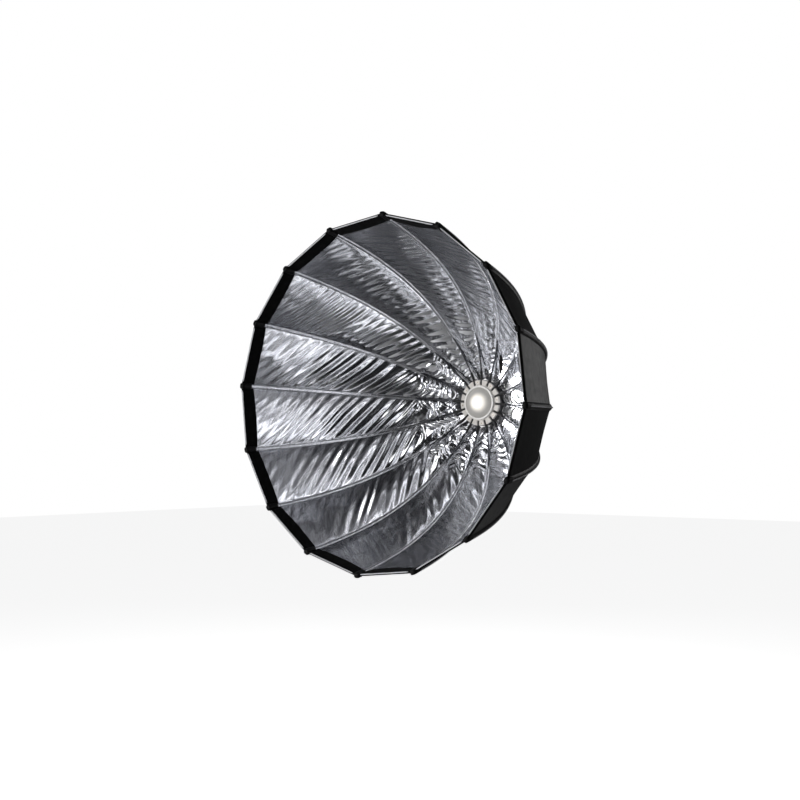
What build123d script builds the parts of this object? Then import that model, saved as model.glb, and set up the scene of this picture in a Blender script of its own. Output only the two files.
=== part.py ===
"""Deep sixteen-rod folding softbox: slotted hub on a turning lamp adapter, hinged rods and a sewn bag.

Frame: the Y axis is the lamp axis. The lamp seats from +Y on the face y = 0, the bag opens towards -Y, and
+Z is up. All sizes are in millimetres. Profiles are drawn in a radial plane as (radius, y).
"""

import math
import os

from build123d import *

# ---- bag and rods ----
RIBS = 16
BAG_TURN = 5.1  # how far the bag stands turned on its adapter, from +Z towards +X, degrees
RIM_RADIUS = 450.0  # lamp axis to a rim corner
BAG_DEPTH = 502.0  # rod pivots to the rim plane
RIM_LEAN = 13.7  # angle between the lamp axis and a rod at the rim, degrees
RIM_REACH = 136.5  # length over which the rod keeps its direction at the rim
ROOT_RISE = 14.2  # angle between a rod at the hub and the hub's face, degrees
ROOT_REACH = 276.5  # length over which the rod keeps its direction at the hub
ROD_RADIUS = 2.4
ROD_ARCS = 6
FABRIC_THICKNESS = 1.6
SEAM_SPACE = 6.0  # from a rod's own plane to the edge of the cloth panel beside it
SLEEVE_START = 0.15  # share of the rod's curve that is bare before it enters its sleeve
HEM_RISE = 24.0  # angle between the cloth at the hub and the hub's face, degrees
HEM_REACH = 0.35  # share of the bare length over which the cloth keeps its direction at each end
HEM_CLEARANCE = 1.6  # hem band to the cloth panels

# ---- adapter: the part that stays on the lamp ----
THROAT_RADIUS = 43.5
TUBE_WALL = 3.5
PLATE_THICKNESS = 6.0
WASHER_THICKNESS = 1.0
RUNNING_CLEARANCE = 0.05
COLLAR_WALL = 2.0
COLLAR_LENGTH = 11.0
COLLAR_FLANGE_THICKNESS = 1.5
LUG_COUNT = 3
LUG_HEIGHT = 4.5
LUG_THICKNESS = 1.6
LUG_ANGLE = 26.0
LOCK_NOTCH_WIDTH = 5.0

# ---- hub: the turning part that holds the rods ----
HUB_WIDTH = 18.0  # from the tube to the hub's outside
HUB_BACK_LENGTH = 31.0
HUB_FRONT_THICKNESS = 6.0
PIVOT_SETBACK = 8.0  # from the hub's outside in to the rod pivots
PIN_RADIUS = 1.5
PIN_GRIP = 3.3  # length of a pin held on each side of its slot
SLOT_CLEARANCE = 0.3
SLOT_DEPTH = 6.5
SLOT_BACK = 6.0  # from a pivot in to the slot's end wall
LEDGE_WIDTH = 4.0  # width of the ledge that a rod's knuckle rests on
STOP_GAP = 0.1
GROOVE_DEPTH = 2.5
GROOVE_WIDTH = 8.0
GROOVE_SETBACK = 10.0  # from the rod pivots back to the groove's near edge
BAND_THICKNESS = 3.4
BAND_SPLIT = 3.0
EDGE_BREAK = 0.8

# ---- knuckle and tip of a rod ----
KNUCKLE_WIDTH = 6.0
BARREL_RADIUS = 4.0
NECK_HEIGHT = 6.0
NECK_LENGTH = 12.0
SOCKET_WALL = 1.8
SOCKET_LENGTH = 22.0
SOCKET_FLOOR = 2.0
TIP_WALL = 2.6
TIP_LENGTH = 24.0
TIP_COVER = 3.0  # solid end of the tip beyond the rod
GLUE_GAP = 0.05  # round the rod in both fittings

# ---- front of the throat ----
THREAD_LENGTH = 2.5
DOME_FLANGE = 1.8
DOME_WALL = 2.5
DOME_HEIGHT = 18.0
DOME_EDGE_GAP = 0.6
RING_WALL = 1.5
RING_LIP = 1.5

# ---- screws and lock knob ----
SCREW_RADIUS = 1.5
SCREW_HEAD_RADIUS = 2.8
SCREW_HEAD_DEPTH = 1.4
SCREW_SOCKET = 1.0
HUB_SCREW_COUNT = 8
HUB_SCREW_LENGTH = 16.0
COLLAR_SCREW_LENGTH = 4.6
LOCK_STEM_RADIUS = 3.0
LOCK_SETBACK = 26.0  # from the rod pivots back to the lock screw's axis
LOCK_SIDE = 12  # the gap between rods that the lock screw stands in, counted from the first rod
KNOB_RADIUS = 8.5
KNOB_HEIGHT = 16.0
KNOB_GAP = 2.5
KNOB_FLUTES = 10
KNOB_FLUTE_RADIUS = 1.3

# ---- values worked out from those above ----
PITCH = 360.0 / RIBS
TUBE_RADIUS = THROAT_RADIUS + TUBE_WALL
HUB_BORE = TUBE_RADIUS + RUNNING_CLEARANCE
HUB_RADIUS = TUBE_RADIUS + HUB_WIDTH
PIVOT_RADIUS = HUB_RADIUS - PIVOT_SETBACK
PLATE_RADIUS = HUB_RADIUS - 3
COLLAR_FLANGE_RADIUS = PLATE_RADIUS - 6
SLOT_INNER_RADIUS = PIVOT_RADIUS - SLOT_BACK
STOP_RADIUS = HUB_RADIUS - LEDGE_WIDTH
SLOT_WIDTH = KNUCKLE_WIDTH + 2 * SLOT_CLEARANCE
PIN_LENGTH = SLOT_WIDTH + 2 * PIN_GRIP
SOCKET_RADIUS = ROD_RADIUS + SOCKET_WALL
TIP_RADIUS = ROD_RADIUS + TIP_WALL
HUB_BACK_Y = -(PLATE_THICKNESS + WASHER_THICKNESS)
PIVOT_Y = HUB_BACK_Y - HUB_BACK_LENGTH
HUB_FRONT_Y = PIVOT_Y - HUB_FRONT_THICKNESS
TUBE_FRONT_Y = HUB_FRONT_Y - THREAD_LENGTH
RIM_Y = PIVOT_Y - BAG_DEPTH
GROOVE_Y = PIVOT_Y + GROOVE_SETBACK
GROOVE_FLOOR = HUB_RADIUS - GROOVE_DEPTH
BAND_RADIUS = GROOVE_FLOOR + BAND_THICKNESS
HEM_RADIUS = (BAND_RADIUS + HEM_CLEARANCE) / math.cos(math.radians(PITCH / 2))
HEM_Y = GROOVE_Y + GROOVE_WIDTH / 2
LOCK_Y = PIVOT_Y + LOCK_SETBACK
ROOT_LENGTH = NECK_LENGTH + SOCKET_LENGTH


def rib_angle(index):
    """Angle of a rod round the lamp axis, from +Z towards -X, in degrees."""
    return index * PITCH - BAG_TURN


def radial_plane(angle):
    """Plane through the lamp axis whose x is the radius at that angle and whose y is the row's Y."""
    turn = math.radians(angle)
    outward = Vector(-math.sin(turn), 0, math.cos(turn))
    return Plane(origin=(0, 0, 0), x_dir=outward, z_dir=outward.cross(Vector(0, 1, 0)))


def along(start, rise, distance):
    """Point at a distance from start, going outward and rising towards the rim by rise degrees."""
    turn = math.radians(rise)
    return (start[0] + distance * math.cos(turn), start[1] - distance * math.sin(turn))


def bezier_rest(points, share):
    """Control points of what is left of a cubic curve after its first share."""
    rest = [points[-1]]
    row = list(points)
    while len(row) > 1:
        row = [
            ((1 - share) * r0 + share * r1, (1 - share) * y0 + share * y1)
            for (r0, y0), (r1, y1) in zip(row, row[1:])
        ]
        rest.insert(0, row[-1])
    return rest


def write(piece, label):
    """Labels a finished piece and writes it as one node."""
    piece.label = label
    export_step(piece, f"parts/{label}.step")


PIVOT = (PIVOT_RADIUS, PIVOT_Y)
RIM_CORNER = (RIM_RADIUS, RIM_Y)
RIM_BACKWARD = -90 - RIM_LEAN  # direction of a rod at the rim, going back to the hub
RIM_HANDLE = along(RIM_CORNER, RIM_BACKWARD, RIM_REACH)
ROOT_END = along(PIVOT, ROOT_RISE, ROOT_LENGTH)
MASTER = radial_plane(0)


# ---- adapter ----
def make_adapter_body():
    """Plate that seats on the lamp, with the tube that the hub turns on."""
    with BuildPart() as adapter_body:
        with BuildSketch(MASTER) as section:
            with BuildLine():
                Polyline(
                    (THROAT_RADIUS, -COLLAR_FLANGE_THICKNESS),
                    (COLLAR_FLANGE_RADIUS + STOP_GAP, -COLLAR_FLANGE_THICKNESS),
                    (COLLAR_FLANGE_RADIUS + STOP_GAP, 0),
                    (PLATE_RADIUS, 0),
                    (PLATE_RADIUS, -PLATE_THICKNESS),
                    (TUBE_RADIUS, -PLATE_THICKNESS),
                    (TUBE_RADIUS, TUBE_FRONT_Y),
                    (THROAT_RADIUS, TUBE_FRONT_Y),
                    close=True,
                )
            make_face()
        revolve(axis=Axis.Y)
        outer_edges = adapter_body.edges().filter_by(GeomType.CIRCLE).group_by(SortBy.RADIUS)[-1]
        chamfer(outer_edges, EDGE_BREAK)
        with Locations(*collar_screw_places(-COLLAR_FLANGE_THICKNESS)):
            Hole(SCREW_RADIUS, depth=COLLAR_SCREW_LENGTH - COLLAR_FLANGE_THICKNESS)
    return adapter_body.part


def collar_screw_places(y):
    """Places of the collar's screws on its flange, each with z pointing out of the flange."""
    circle = (COLLAR_FLANGE_RADIUS + THROAT_RADIUS + COLLAR_WALL) / 2
    return screw_places(LUG_COUNT, circle, PITCH + LUG_ANGLE, y, Vector(0, 1, 0))


def screw_places(count, circle, first, y, outward):
    """Locations evenly round the lamp axis at height y, with z along outward."""
    places = []
    for number in range(count):
        turn = math.radians(first + number * 360 / count)
        origin = (-circle * math.sin(turn), y, circle * math.cos(turn))
        places.append(Plane(origin=origin, x_dir=(1, 0, 0), z_dir=outward).location)
    return places


def make_bayonet_collar():
    """Steel collar with three lugs that locks into the lamp."""
    outer = THROAT_RADIUS + COLLAR_WALL
    lug_middle = outer + LUG_HEIGHT / 2 - COLLAR_WALL / 4
    with BuildPart() as bayonet_collar:
        with BuildSketch(MASTER):
            with BuildLine():
                Polyline(
                    (THROAT_RADIUS, -COLLAR_FLANGE_THICKNESS),
                    (COLLAR_FLANGE_RADIUS, -COLLAR_FLANGE_THICKNESS),
                    (COLLAR_FLANGE_RADIUS, 0),
                    (outer, 0),
                    (outer, COLLAR_LENGTH),
                    (THROAT_RADIUS, COLLAR_LENGTH),
                    close=True,
                )
            make_face()
        revolve(axis=Axis.Y)
        for number in range(LUG_COUNT):
            start = radial_plane(number * 360 / LUG_COUNT)
            with BuildSketch(start):
                with Locations((lug_middle, COLLAR_LENGTH - LUG_THICKNESS / 2)):
                    Rectangle(LUG_HEIGHT + COLLAR_WALL / 2, LUG_THICKNESS)
            revolve(axis=Axis.Y, revolution_arc=LUG_ANGLE)
        flange_edge = Plane(
            origin=(COLLAR_FLANGE_RADIUS, -COLLAR_FLANGE_THICKNESS, 0), x_dir=(1, 0, 0), z_dir=(0, 1, 0)
        )
        with BuildSketch(flange_edge):
            Rectangle(LOCK_NOTCH_WIDTH, LOCK_NOTCH_WIDTH)
        extrude(amount=COLLAR_FLANGE_THICKNESS, mode=Mode.SUBTRACT)
        with Locations(*collar_screw_places(0)):
            CounterSinkHole(SCREW_RADIUS, SCREW_HEAD_RADIUS)
    return bayonet_collar.part


def make_screws(places, length):
    """Countersunk screws, one solid at each place, their heads flush with it."""
    with BuildPart() as screws:
        with Locations(*places):
            with Locations((0, 0, -length / 2)):
                Cylinder(SCREW_RADIUS, length)
            with Locations((0, 0, -SCREW_HEAD_DEPTH / 2)):
                Cone(SCREW_RADIUS, SCREW_HEAD_RADIUS - STOP_GAP, SCREW_HEAD_DEPTH)
            with Locations((0, 0, -SCREW_HEAD_DEPTH / 2)):
                Cylinder(SCREW_SOCKET, SCREW_HEAD_DEPTH, mode=Mode.SUBTRACT)
    return screws.part


def make_friction_washer():
    """Nylon washer between the adapter's plate and the turning hub."""
    with BuildPart() as friction_washer:
        with BuildSketch(Plane.XZ.offset(PLATE_THICKNESS)):
            Circle(PLATE_RADIUS - EDGE_BREAK)
            Circle(HUB_BORE, mode=Mode.SUBTRACT)
        extrude(amount=WASHER_THICKNESS)
    return friction_washer.part


# ---- dome in the throat ----
def make_frosted_dome():
    """Thin frosted glass dome over the front of the throat, with the flange it is held by."""
    front = TUBE_FRONT_Y - DOME_FLANGE
    top = front - DOME_HEIGHT
    outer_foot = THROAT_RADIUS - RING_LIP / 2
    inner_foot = outer_foot - DOME_WALL
    inner_height = DOME_HEIGHT + DOME_FLANGE - DOME_WALL
    inner_top = top + DOME_WALL
    with BuildPart() as frosted_dome:
        with BuildSketch(MASTER):
            with BuildLine():
                ThreePointArc(
                    (0, top),
                    along_sphere(outer_foot / 2, outer_foot, DOME_HEIGHT, top),
                    (outer_foot, front),
                )
                Polyline(
                    (outer_foot, front),
                    (TUBE_RADIUS - DOME_EDGE_GAP, front),
                    (TUBE_RADIUS - DOME_EDGE_GAP, TUBE_FRONT_Y),
                    (inner_foot, TUBE_FRONT_Y),
                )
                ThreePointArc(
                    (inner_foot, TUBE_FRONT_Y),
                    along_sphere(inner_foot / 2, inner_foot, inner_height, inner_top),
                    (0, inner_top),
                )
                Line((0, inner_top), (0, top))
            make_face()
        revolve(axis=Axis.Y)
    return frosted_dome.part


def along_sphere(radius, foot_radius, height, top):
    """Point at a radius on the spherical cap of that foot radius and height, whose top is at y = top."""
    sphere = (foot_radius**2 + height**2) / (2 * height)
    return (radius, top + sphere - math.sqrt(sphere**2 - radius**2))


def make_dome_ring():
    """Ring screwed on the tube's front: it holds the dome's flange and keeps the hub on the tube."""
    outer = TUBE_RADIUS + RING_WALL
    flange_front = TUBE_FRONT_Y - DOME_FLANGE
    skirt_end = HUB_FRONT_Y - STOP_GAP
    with BuildPart() as dome_ring:
        with BuildSketch(MASTER):
            with BuildLine():
                Polyline(
                    (THROAT_RADIUS, flange_front),
                    (TUBE_RADIUS, flange_front),
                    (TUBE_RADIUS, skirt_end),
                    (outer, skirt_end),
                    (outer, flange_front - RING_LIP),
                    (THROAT_RADIUS, flange_front - RING_LIP),
                    close=True,
                )
            make_face()
        revolve(axis=Axis.Y)
        front_edges = dome_ring.edges().filter_by(GeomType.CIRCLE).group_by(Axis.Y)[0]
        fillet(front_edges.sort_by(SortBy.RADIUS)[-1:], EDGE_BREAK)
        fillet(dome_ring.edges().filter_by(GeomType.CIRCLE).group_by(Axis.Y)[0].sort_by(SortBy.RADIUS)[:1],
               EDGE_BREAK / 2)
    return dome_ring.part


# ---- hub ----
def front_slot_outline():
    """Corners, in the radial plane, of the open slot a rod stands in."""
    outside = HUB_RADIUS + EDGE_BREAK
    front = HUB_FRONT_Y - EDGE_BREAK
    return [
        (SLOT_INNER_RADIUS, PIVOT_Y),
        (outside, PIVOT_Y),
        (outside, front),
        (SLOT_INNER_RADIUS, front),
    ]


def back_slot_outline():
    """Corners of the pocket behind a rod's knuckle, with the sloping ledge that the open rod rests on."""
    outside = HUB_RADIUS + EDGE_BREAK
    slope = math.tan(math.radians(ROOT_RISE))
    underside = PIVOT_Y + (NECK_HEIGHT / 2 + STOP_GAP) / math.cos(math.radians(ROOT_RISE))
    return [
        (SLOT_INNER_RADIUS, PIVOT_Y),
        (SLOT_INNER_RADIUS, PIVOT_Y + SLOT_DEPTH),
        (STOP_RADIUS, PIVOT_Y + SLOT_DEPTH),
        (STOP_RADIUS, underside - (STOP_RADIUS - PIVOT_RADIUS) * slope),
        (outside, underside - (outside - PIVOT_RADIUS) * slope),
        (outside, PIVOT_Y),
    ]


def make_slot_cutters(outline):
    """Sixteen rod slots of that outline, each with the groove its pivot pin lies in."""
    with BuildPart() as cutters:
        for index in range(RIBS):
            plane = radial_plane(rib_angle(index))
            with BuildSketch(plane):
                with BuildLine():
                    Polyline(*outline, close=True)
                make_face()
            extrude(amount=SLOT_WIDTH / 2, both=True)
            with BuildSketch(plane):
                with Locations(PIVOT):
                    Circle(PIN_RADIUS)
            extrude(amount=PIN_LENGTH / 2, both=True)
    return cutters.part


def hub_screw_places():
    """Places of the screws that clamp the hub's two rings, on the lands between rods."""
    return screw_places(HUB_SCREW_COUNT, PIVOT_RADIUS + SCREW_RADIUS, PITCH / 2 - BAG_TURN, HUB_FRONT_Y,
                        Vector(0, -1, 0))


def make_hub_front_ring():
    """Anodised front ring: sixteen open slots, and half of each pin's groove."""
    with BuildPart() as hub_front_ring:
        with BuildSketch(Plane.XZ.offset(-PIVOT_Y)):
            Circle(HUB_RADIUS)
            Circle(HUB_BORE + STOP_GAP, mode=Mode.SUBTRACT)
        extrude(amount=HUB_FRONT_THICKNESS)
        front_edges = hub_front_ring.edges().filter_by(GeomType.CIRCLE).group_by(Axis.Y)[0]
        chamfer(front_edges.sort_by(SortBy.RADIUS)[-1:], EDGE_BREAK)
        add(make_slot_cutters(front_slot_outline()), mode=Mode.SUBTRACT)
        with Locations(*hub_screw_places()):
            CounterSinkHole(SCREW_RADIUS, SCREW_HEAD_RADIUS)
    return hub_front_ring.part


def make_hub_back_ring():
    """Cast back ring that turns on the tube, with the rods' stops, the hem groove and the lock screw."""
    with BuildPart() as hub_back_ring:
        with BuildSketch(MASTER):
            with BuildLine():
                Polyline(
                    (HUB_BORE, HUB_BACK_Y),
                    (HUB_RADIUS - EDGE_BREAK, HUB_BACK_Y),
                    (HUB_RADIUS, HUB_BACK_Y - EDGE_BREAK),
                    (HUB_RADIUS, GROOVE_Y + GROOVE_WIDTH),
                    (GROOVE_FLOOR, GROOVE_Y + GROOVE_WIDTH),
                    (GROOVE_FLOOR, GROOVE_Y),
                    (HUB_RADIUS, GROOVE_Y),
                    (HUB_RADIUS, PIVOT_Y),
                    (HUB_BORE, PIVOT_Y),
                    close=True,
                )
            make_face()
        revolve(axis=Axis.Y)
        add(make_slot_cutters(back_slot_outline()), mode=Mode.SUBTRACT)
        with Locations(*hub_screw_places()):
            with Locations((0, 0, -HUB_SCREW_LENGTH / 2)):
                Cylinder(SCREW_RADIUS, HUB_SCREW_LENGTH, mode=Mode.SUBTRACT)
        with BuildSketch(lock_plane(0)):
            Circle(LOCK_STEM_RADIUS + RUNNING_CLEARANCE)
        extrude(amount=HUB_RADIUS + EDGE_BREAK, mode=Mode.SUBTRACT)
    return hub_back_ring.part


def make_pivot_pins():
    """Sixteen steel pins, clamped in the hub's grooves, that the rods' knuckles turn on."""
    with BuildPart() as pivot_pins:
        for index in range(RIBS):
            with BuildSketch(radial_plane(rib_angle(index))):
                with Locations(PIVOT):
                    Circle(PIN_RADIUS)
            extrude(amount=PIN_LENGTH / 2, both=True)
    return pivot_pins.part


def make_hem_band():
    """Split band that clamps the bag's hem into the hub's groove."""
    with BuildPart() as hem_band:
        with BuildSketch(Plane.XZ.offset(-GROOVE_Y - GROOVE_WIDTH + STOP_GAP)):
            Circle(BAND_RADIUS)
            Circle(GROOVE_FLOOR, mode=Mode.SUBTRACT)
            with Locations((0, -HUB_RADIUS)):
                Rectangle(BAND_SPLIT, HUB_RADIUS, mode=Mode.SUBTRACT)
        extrude(amount=GROOVE_WIDTH - 2 * STOP_GAP)
    return hem_band.part


# ---- lock screw ----
def lock_plane(distance):
    """Plane across the lock screw's axis, that far out from the lamp axis."""
    turn = math.radians(rib_angle(LOCK_SIDE) + PITCH / 2)
    outward = Vector(-math.sin(turn), 0, math.cos(turn))
    return Plane(origin=outward * distance + Vector(0, LOCK_Y, 0), x_dir=(0, 1, 0), z_dir=outward)


def make_lock_knob():
    """Thumb screw that presses on the tube and stops the bag turning."""
    start = TUBE_RADIUS + STOP_GAP
    knob_base = HUB_RADIUS + KNOB_GAP
    with BuildPart() as lock_knob:
        with BuildSketch(lock_plane(start)):
            Circle(LOCK_STEM_RADIUS)
        extrude(amount=knob_base - start)
        with BuildSketch(lock_plane(knob_base)):
            Circle(KNOB_RADIUS)
            with PolarLocations(KNOB_RADIUS, KNOB_FLUTES):
                Circle(KNOB_FLUTE_RADIUS, mode=Mode.SUBTRACT)
        extrude(amount=KNOB_HEIGHT)
        top_face = lock_knob.faces().sort_by(Axis(lock_plane(0).origin, lock_plane(0).z_dir))[-1]
        chamfer(top_face.edges(), EDGE_BREAK)
    return lock_knob.part


# ---- rods ----
def make_rod(radius):
    """A rod's length at that radius, from its socket to its tip, as a straight root and a chain of arcs."""
    rod_start = along(PIVOT, ROOT_RISE, NECK_LENGTH + SOCKET_FLOOR)
    rod_end = along(RIM_CORNER, RIM_BACKWARD, TIP_COVER)
    curve = (ROOT_END, root_handle(), RIM_HANDLE, rod_end)
    with BuildPart() as rod:
        with BuildLine(MASTER) as path:
            piece = Line(rod_start, ROOT_END)
            for number in range(1, ROD_ARCS + 1):
                stop = bezier_rest(curve, number / ROD_ARCS)[0]
                piece = TangentArc(piece @ 1, stop, tangent=piece % 1)
        with BuildSketch(Plane(origin=path.line @ 0, z_dir=path.line % 0)):
            Circle(radius)
        sweep()
    return rod.part


def root_handle():
    """Control point that keeps the rod's direction at the hub."""
    return along(ROOT_END, ROOT_RISE, ROOT_REACH)


def make_rod_ends():
    """The rod's two fittings as two solids: the hinge knuckle with its socket, and the round tip."""
    neck_middle = along(PIVOT, ROOT_RISE, NECK_LENGTH / 2)
    socket_foot = along(PIVOT, ROOT_RISE, NECK_LENGTH)
    tip_foot = along(RIM_CORNER, RIM_BACKWARD, TIP_LENGTH)
    shoulder = along(RIM_CORNER, RIM_BACKWARD, TIP_RADIUS)
    with BuildPart() as rod_ends:
        with BuildSketch(MASTER):
            with Locations(PIVOT):
                Circle(BARREL_RADIUS)
            with Locations(Location((*neck_middle, 0), (0, 0, -ROOT_RISE))):
                Rectangle(NECK_LENGTH, NECK_HEIGHT)
            with Locations(PIVOT):
                Circle(PIN_RADIUS + RUNNING_CLEARANCE, mode=Mode.SUBTRACT)
        extrude(amount=KNUCKLE_WIDTH / 2, both=True)
        with BuildSketch(cross_plane(socket_foot, ROOT_RISE)):
            Circle(SOCKET_RADIUS)
        extrude(amount=SOCKET_LENGTH)
        with BuildSketch(MASTER):
            with BuildLine():
                side = along(shoulder, -RIM_LEAN, TIP_RADIUS)
                foot = along(tip_foot, -RIM_LEAN, TIP_RADIUS)
                Polyline(RIM_CORNER, tip_foot, foot, side)
                ThreePointArc(side, along(shoulder, 45 - RIM_LEAN, TIP_RADIUS), RIM_CORNER)
            make_face()
        tip_axis = Axis(MASTER.from_local_coords(RIM_CORNER), cross_plane(RIM_CORNER, RIM_BACKWARD).z_dir)
        revolve(axis=tip_axis)
        add(make_rod(ROD_RADIUS + GLUE_GAP), mode=Mode.SUBTRACT)
    return rod_ends.part


def cross_plane(point, rise):
    """Plane across a rod at a point of the master radial plane, facing away along that rise."""
    origin = MASTER.from_local_coords(point)
    return Plane(origin=origin, z_dir=MASTER.from_local_coords(along(point, rise, 1)) - origin)


# ---- bag ----
def seam_plane(side):
    """Plane along one edge of the first panel, at seam distance from the rod; z points off the panel."""
    turn = math.radians(PITCH / 2)
    across = MASTER.z_dir * (side * math.cos(turn)) - MASTER.x_dir * math.sin(turn)
    return Plane(origin=across * -SEAM_SPACE, z_dir=across)


def rise_of(start, end):
    """Angle from start to end in the sense that along() takes."""
    return math.degrees(math.atan2(start[1] - end[1], end[0] - start[0]))


def cloth_curves(lift):
    """Two cubic curves along a panel's middle, hem to sleeve to rim, lift outside the inner face."""
    shrink = math.cos(math.radians(PITCH / 2))
    sleeved = bezier_rest((ROOT_END, root_handle(), RIM_HANDLE, RIM_CORNER), SLEEVE_START)
    sleeved = [(radius * shrink, y) for radius, y in sleeved]
    hem = (HEM_RADIUS * shrink, HEM_Y)
    sleeve_rise = rise_of(sleeved[0], sleeved[1])
    reach = HEM_REACH * math.dist(hem, sleeved[0])
    open_part = [hem, along(hem, HEM_RISE, reach), along(sleeved[0], sleeve_rise, -reach), sleeved[0]]
    lean = rise_of(sleeved[2], sleeved[3]) - 90
    first = lifted(open_part, (HEM_RISE - 90, HEM_RISE - 90, sleeve_rise - 90, sleeve_rise - 90), lift)
    second = lifted(sleeved, (sleeve_rise - 90, sleeve_rise - 90, lean, lean), lift)
    return first, second


def lifted(points, rises, lift):
    """The points, each moved by lift along its rise."""
    return [along(point, rise, lift) for point, rise in zip(points, rises)]


def make_panel():
    """One cloth panel between two rods, flat across and curved along, open towards the rim."""
    inner_hem, inner_sleeve = cloth_curves(0)
    outer_hem, outer_sleeve = cloth_curves(FABRIC_THICKNESS)
    with BuildPart() as panel:
        with BuildSketch(MASTER):
            with BuildLine():
                Bezier(*inner_hem)
                Bezier(*inner_sleeve)
                Line(inner_sleeve[-1], outer_sleeve[-1])
                Bezier(*outer_sleeve[::-1])
                Bezier(*outer_hem[::-1])
                Line(outer_hem[0], inner_hem[0])
            make_face()
        extrude(amount=RIM_RADIUS * math.tan(math.radians(PITCH / 2)), both=True)
        for side in (-1, 1):
            split(bisect_by=seam_plane(side), keep=Keep.BOTTOM)
    return panel.part


def main():
    os.makedirs("parts", exist_ok=True)
    write(make_adapter_body(), "adapter_body")
    write(make_bayonet_collar(), "bayonet_collar")
    write(make_screws(collar_screw_places(0), COLLAR_SCREW_LENGTH), "collar_screws")
    write(make_friction_washer(), "friction_washer")
    write(make_frosted_dome(), "frosted_dome")
    write(make_dome_ring(), "dome_ring")
    write(make_hub_front_ring(), "hub_front_ring")
    write(make_hub_back_ring(), "hub_back_ring")
    write(make_pivot_pins(), "pivot_pins")
    write(make_screws(hub_screw_places(), HUB_SCREW_LENGTH), "hub_screws")
    write(make_hem_band(), "hem_band")
    write(make_lock_knob(), "lock_knob")
    rod = make_rod(ROD_RADIUS)
    rod_ends = make_rod_ends()
    panel = make_panel()
    for index in range(RIBS):
        turn = -rib_angle(index)
        write(rod.rotate(Axis.Y, turn), f"rod_{index + 1:02d}")
        write(rod_ends.rotate(Axis.Y, turn), f"rod_ends_{index + 1:02d}")
        write(panel.rotate(Axis.Y, turn - PITCH / 2), f"bag_panel_{index + 1:02d}")


main()
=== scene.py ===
"""Deep sixteen-rod folding softbox, seen from its open side.

The CAD model gives the lamp adapter, the hub, the rods and their fittings. This script gives the bag its
cloth: a silver-coated lining that is creased by the pull of the rods, a black outside, sleeves, seams, corner
pockets and the bound rim. It finishes every CAD piece with a material of its own.

Frame: metres, the lamp axis along Y, the bag opens towards -Y, +Z up. A rod's angle is counted from +Z
towards -X. Profiles lie in a radial plane as (radius, y).
"""

import logging
import math
from dataclasses import dataclass, fields
from enum import Enum

import bpy
import numpy as np
from mathutils import Matrix, Vector


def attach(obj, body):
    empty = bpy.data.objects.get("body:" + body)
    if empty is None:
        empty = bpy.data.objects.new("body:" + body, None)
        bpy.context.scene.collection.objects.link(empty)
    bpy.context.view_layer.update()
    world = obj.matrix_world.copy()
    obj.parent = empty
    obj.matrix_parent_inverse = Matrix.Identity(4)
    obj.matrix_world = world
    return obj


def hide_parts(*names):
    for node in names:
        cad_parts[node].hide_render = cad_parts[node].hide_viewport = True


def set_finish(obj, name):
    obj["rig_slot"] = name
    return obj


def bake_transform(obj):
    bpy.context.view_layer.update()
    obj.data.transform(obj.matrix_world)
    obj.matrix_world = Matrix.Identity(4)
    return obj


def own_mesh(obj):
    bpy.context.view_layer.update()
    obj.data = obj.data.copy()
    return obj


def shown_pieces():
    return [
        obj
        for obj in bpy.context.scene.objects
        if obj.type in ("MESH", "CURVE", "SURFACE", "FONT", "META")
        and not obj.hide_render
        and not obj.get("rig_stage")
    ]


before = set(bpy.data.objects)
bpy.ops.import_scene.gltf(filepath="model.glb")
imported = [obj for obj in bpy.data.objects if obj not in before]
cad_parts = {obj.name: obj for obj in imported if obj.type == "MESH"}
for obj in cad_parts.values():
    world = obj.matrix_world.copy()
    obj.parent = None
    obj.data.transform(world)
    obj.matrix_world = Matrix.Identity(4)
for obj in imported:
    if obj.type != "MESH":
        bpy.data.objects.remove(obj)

LOG = logging.getLogger("softbox")
MM = 0.001


# ---------------------------------------------------------------- sizes


@dataclass(frozen=True)
class BagSize:
    """Sizes of the bag, the same as the CAD model's, in metres and degrees."""

    ribs: int = 16
    turn: float = 5.1
    rim_radius: float = 450 * MM
    rim_y: float = -540 * MM
    rim_lean: float = 13.7
    rim_reach: float = 136.5 * MM
    pivot_radius: float = 57 * MM
    pivot_y: float = -38 * MM
    root_rise: float = 14.2
    root_length: float = 34 * MM
    root_reach: float = 276.5 * MM
    sleeve_start: float = 0.15
    sleeve_radius: float = 197 * MM
    hem_apothem: float = 67.5 * MM
    hem_y: float = -24 * MM
    hem_rise: float = 24.0
    hem_reach: float = 0.35
    fold: float = 38.0
    lip: float = 39 * MM

    @property
    def pitch(self) -> float:
        """Angle between two rods, in degrees."""
        return 360 / self.ribs

    @property
    def half(self) -> float:
        """Half of that angle, in radians."""
        return math.radians(self.pitch / 2)

    def rib_angle(self, index: float) -> float:
        """Angle of a rod, or of the middle of a panel when index ends in a half.

        Args:
            index: Number of the rod, from 0.

        Returns:
            The angle from +Z towards -X, in degrees.
        """
        return index * self.pitch - self.turn


SIZE = BagSize()


@dataclass(frozen=True)
class ClothGrid:
    """How finely the cloth is meshed and in how many bands it is cut."""

    step: float = 3.0 * MM
    columns: int = 40
    bands: int = 9
    hem_band: float = 26 * MM
    gap: float = 1.6 * MM
    thickness: float = 1.0 * MM


GRID = ClothGrid()

# The panel with the slit.
VENT_PANEL = 14


# ---------------------------------------------------------------- small helpers


def srgb(code: str) -> tuple:
    """Turns a hex colour such as "c8c8c8" into linear RGBA.

    Args:
        code: Six hex digits.

    Returns:
        Four linear values.
    """
    values = [int(code[i : i + 2], 16) / 255 for i in (0, 2, 4)]
    linear = [v / 12.92 if v <= 0.04045 else ((v + 0.055) / 1.055) ** 2.4 for v in values]
    return (*linear, 1.0)


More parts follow.
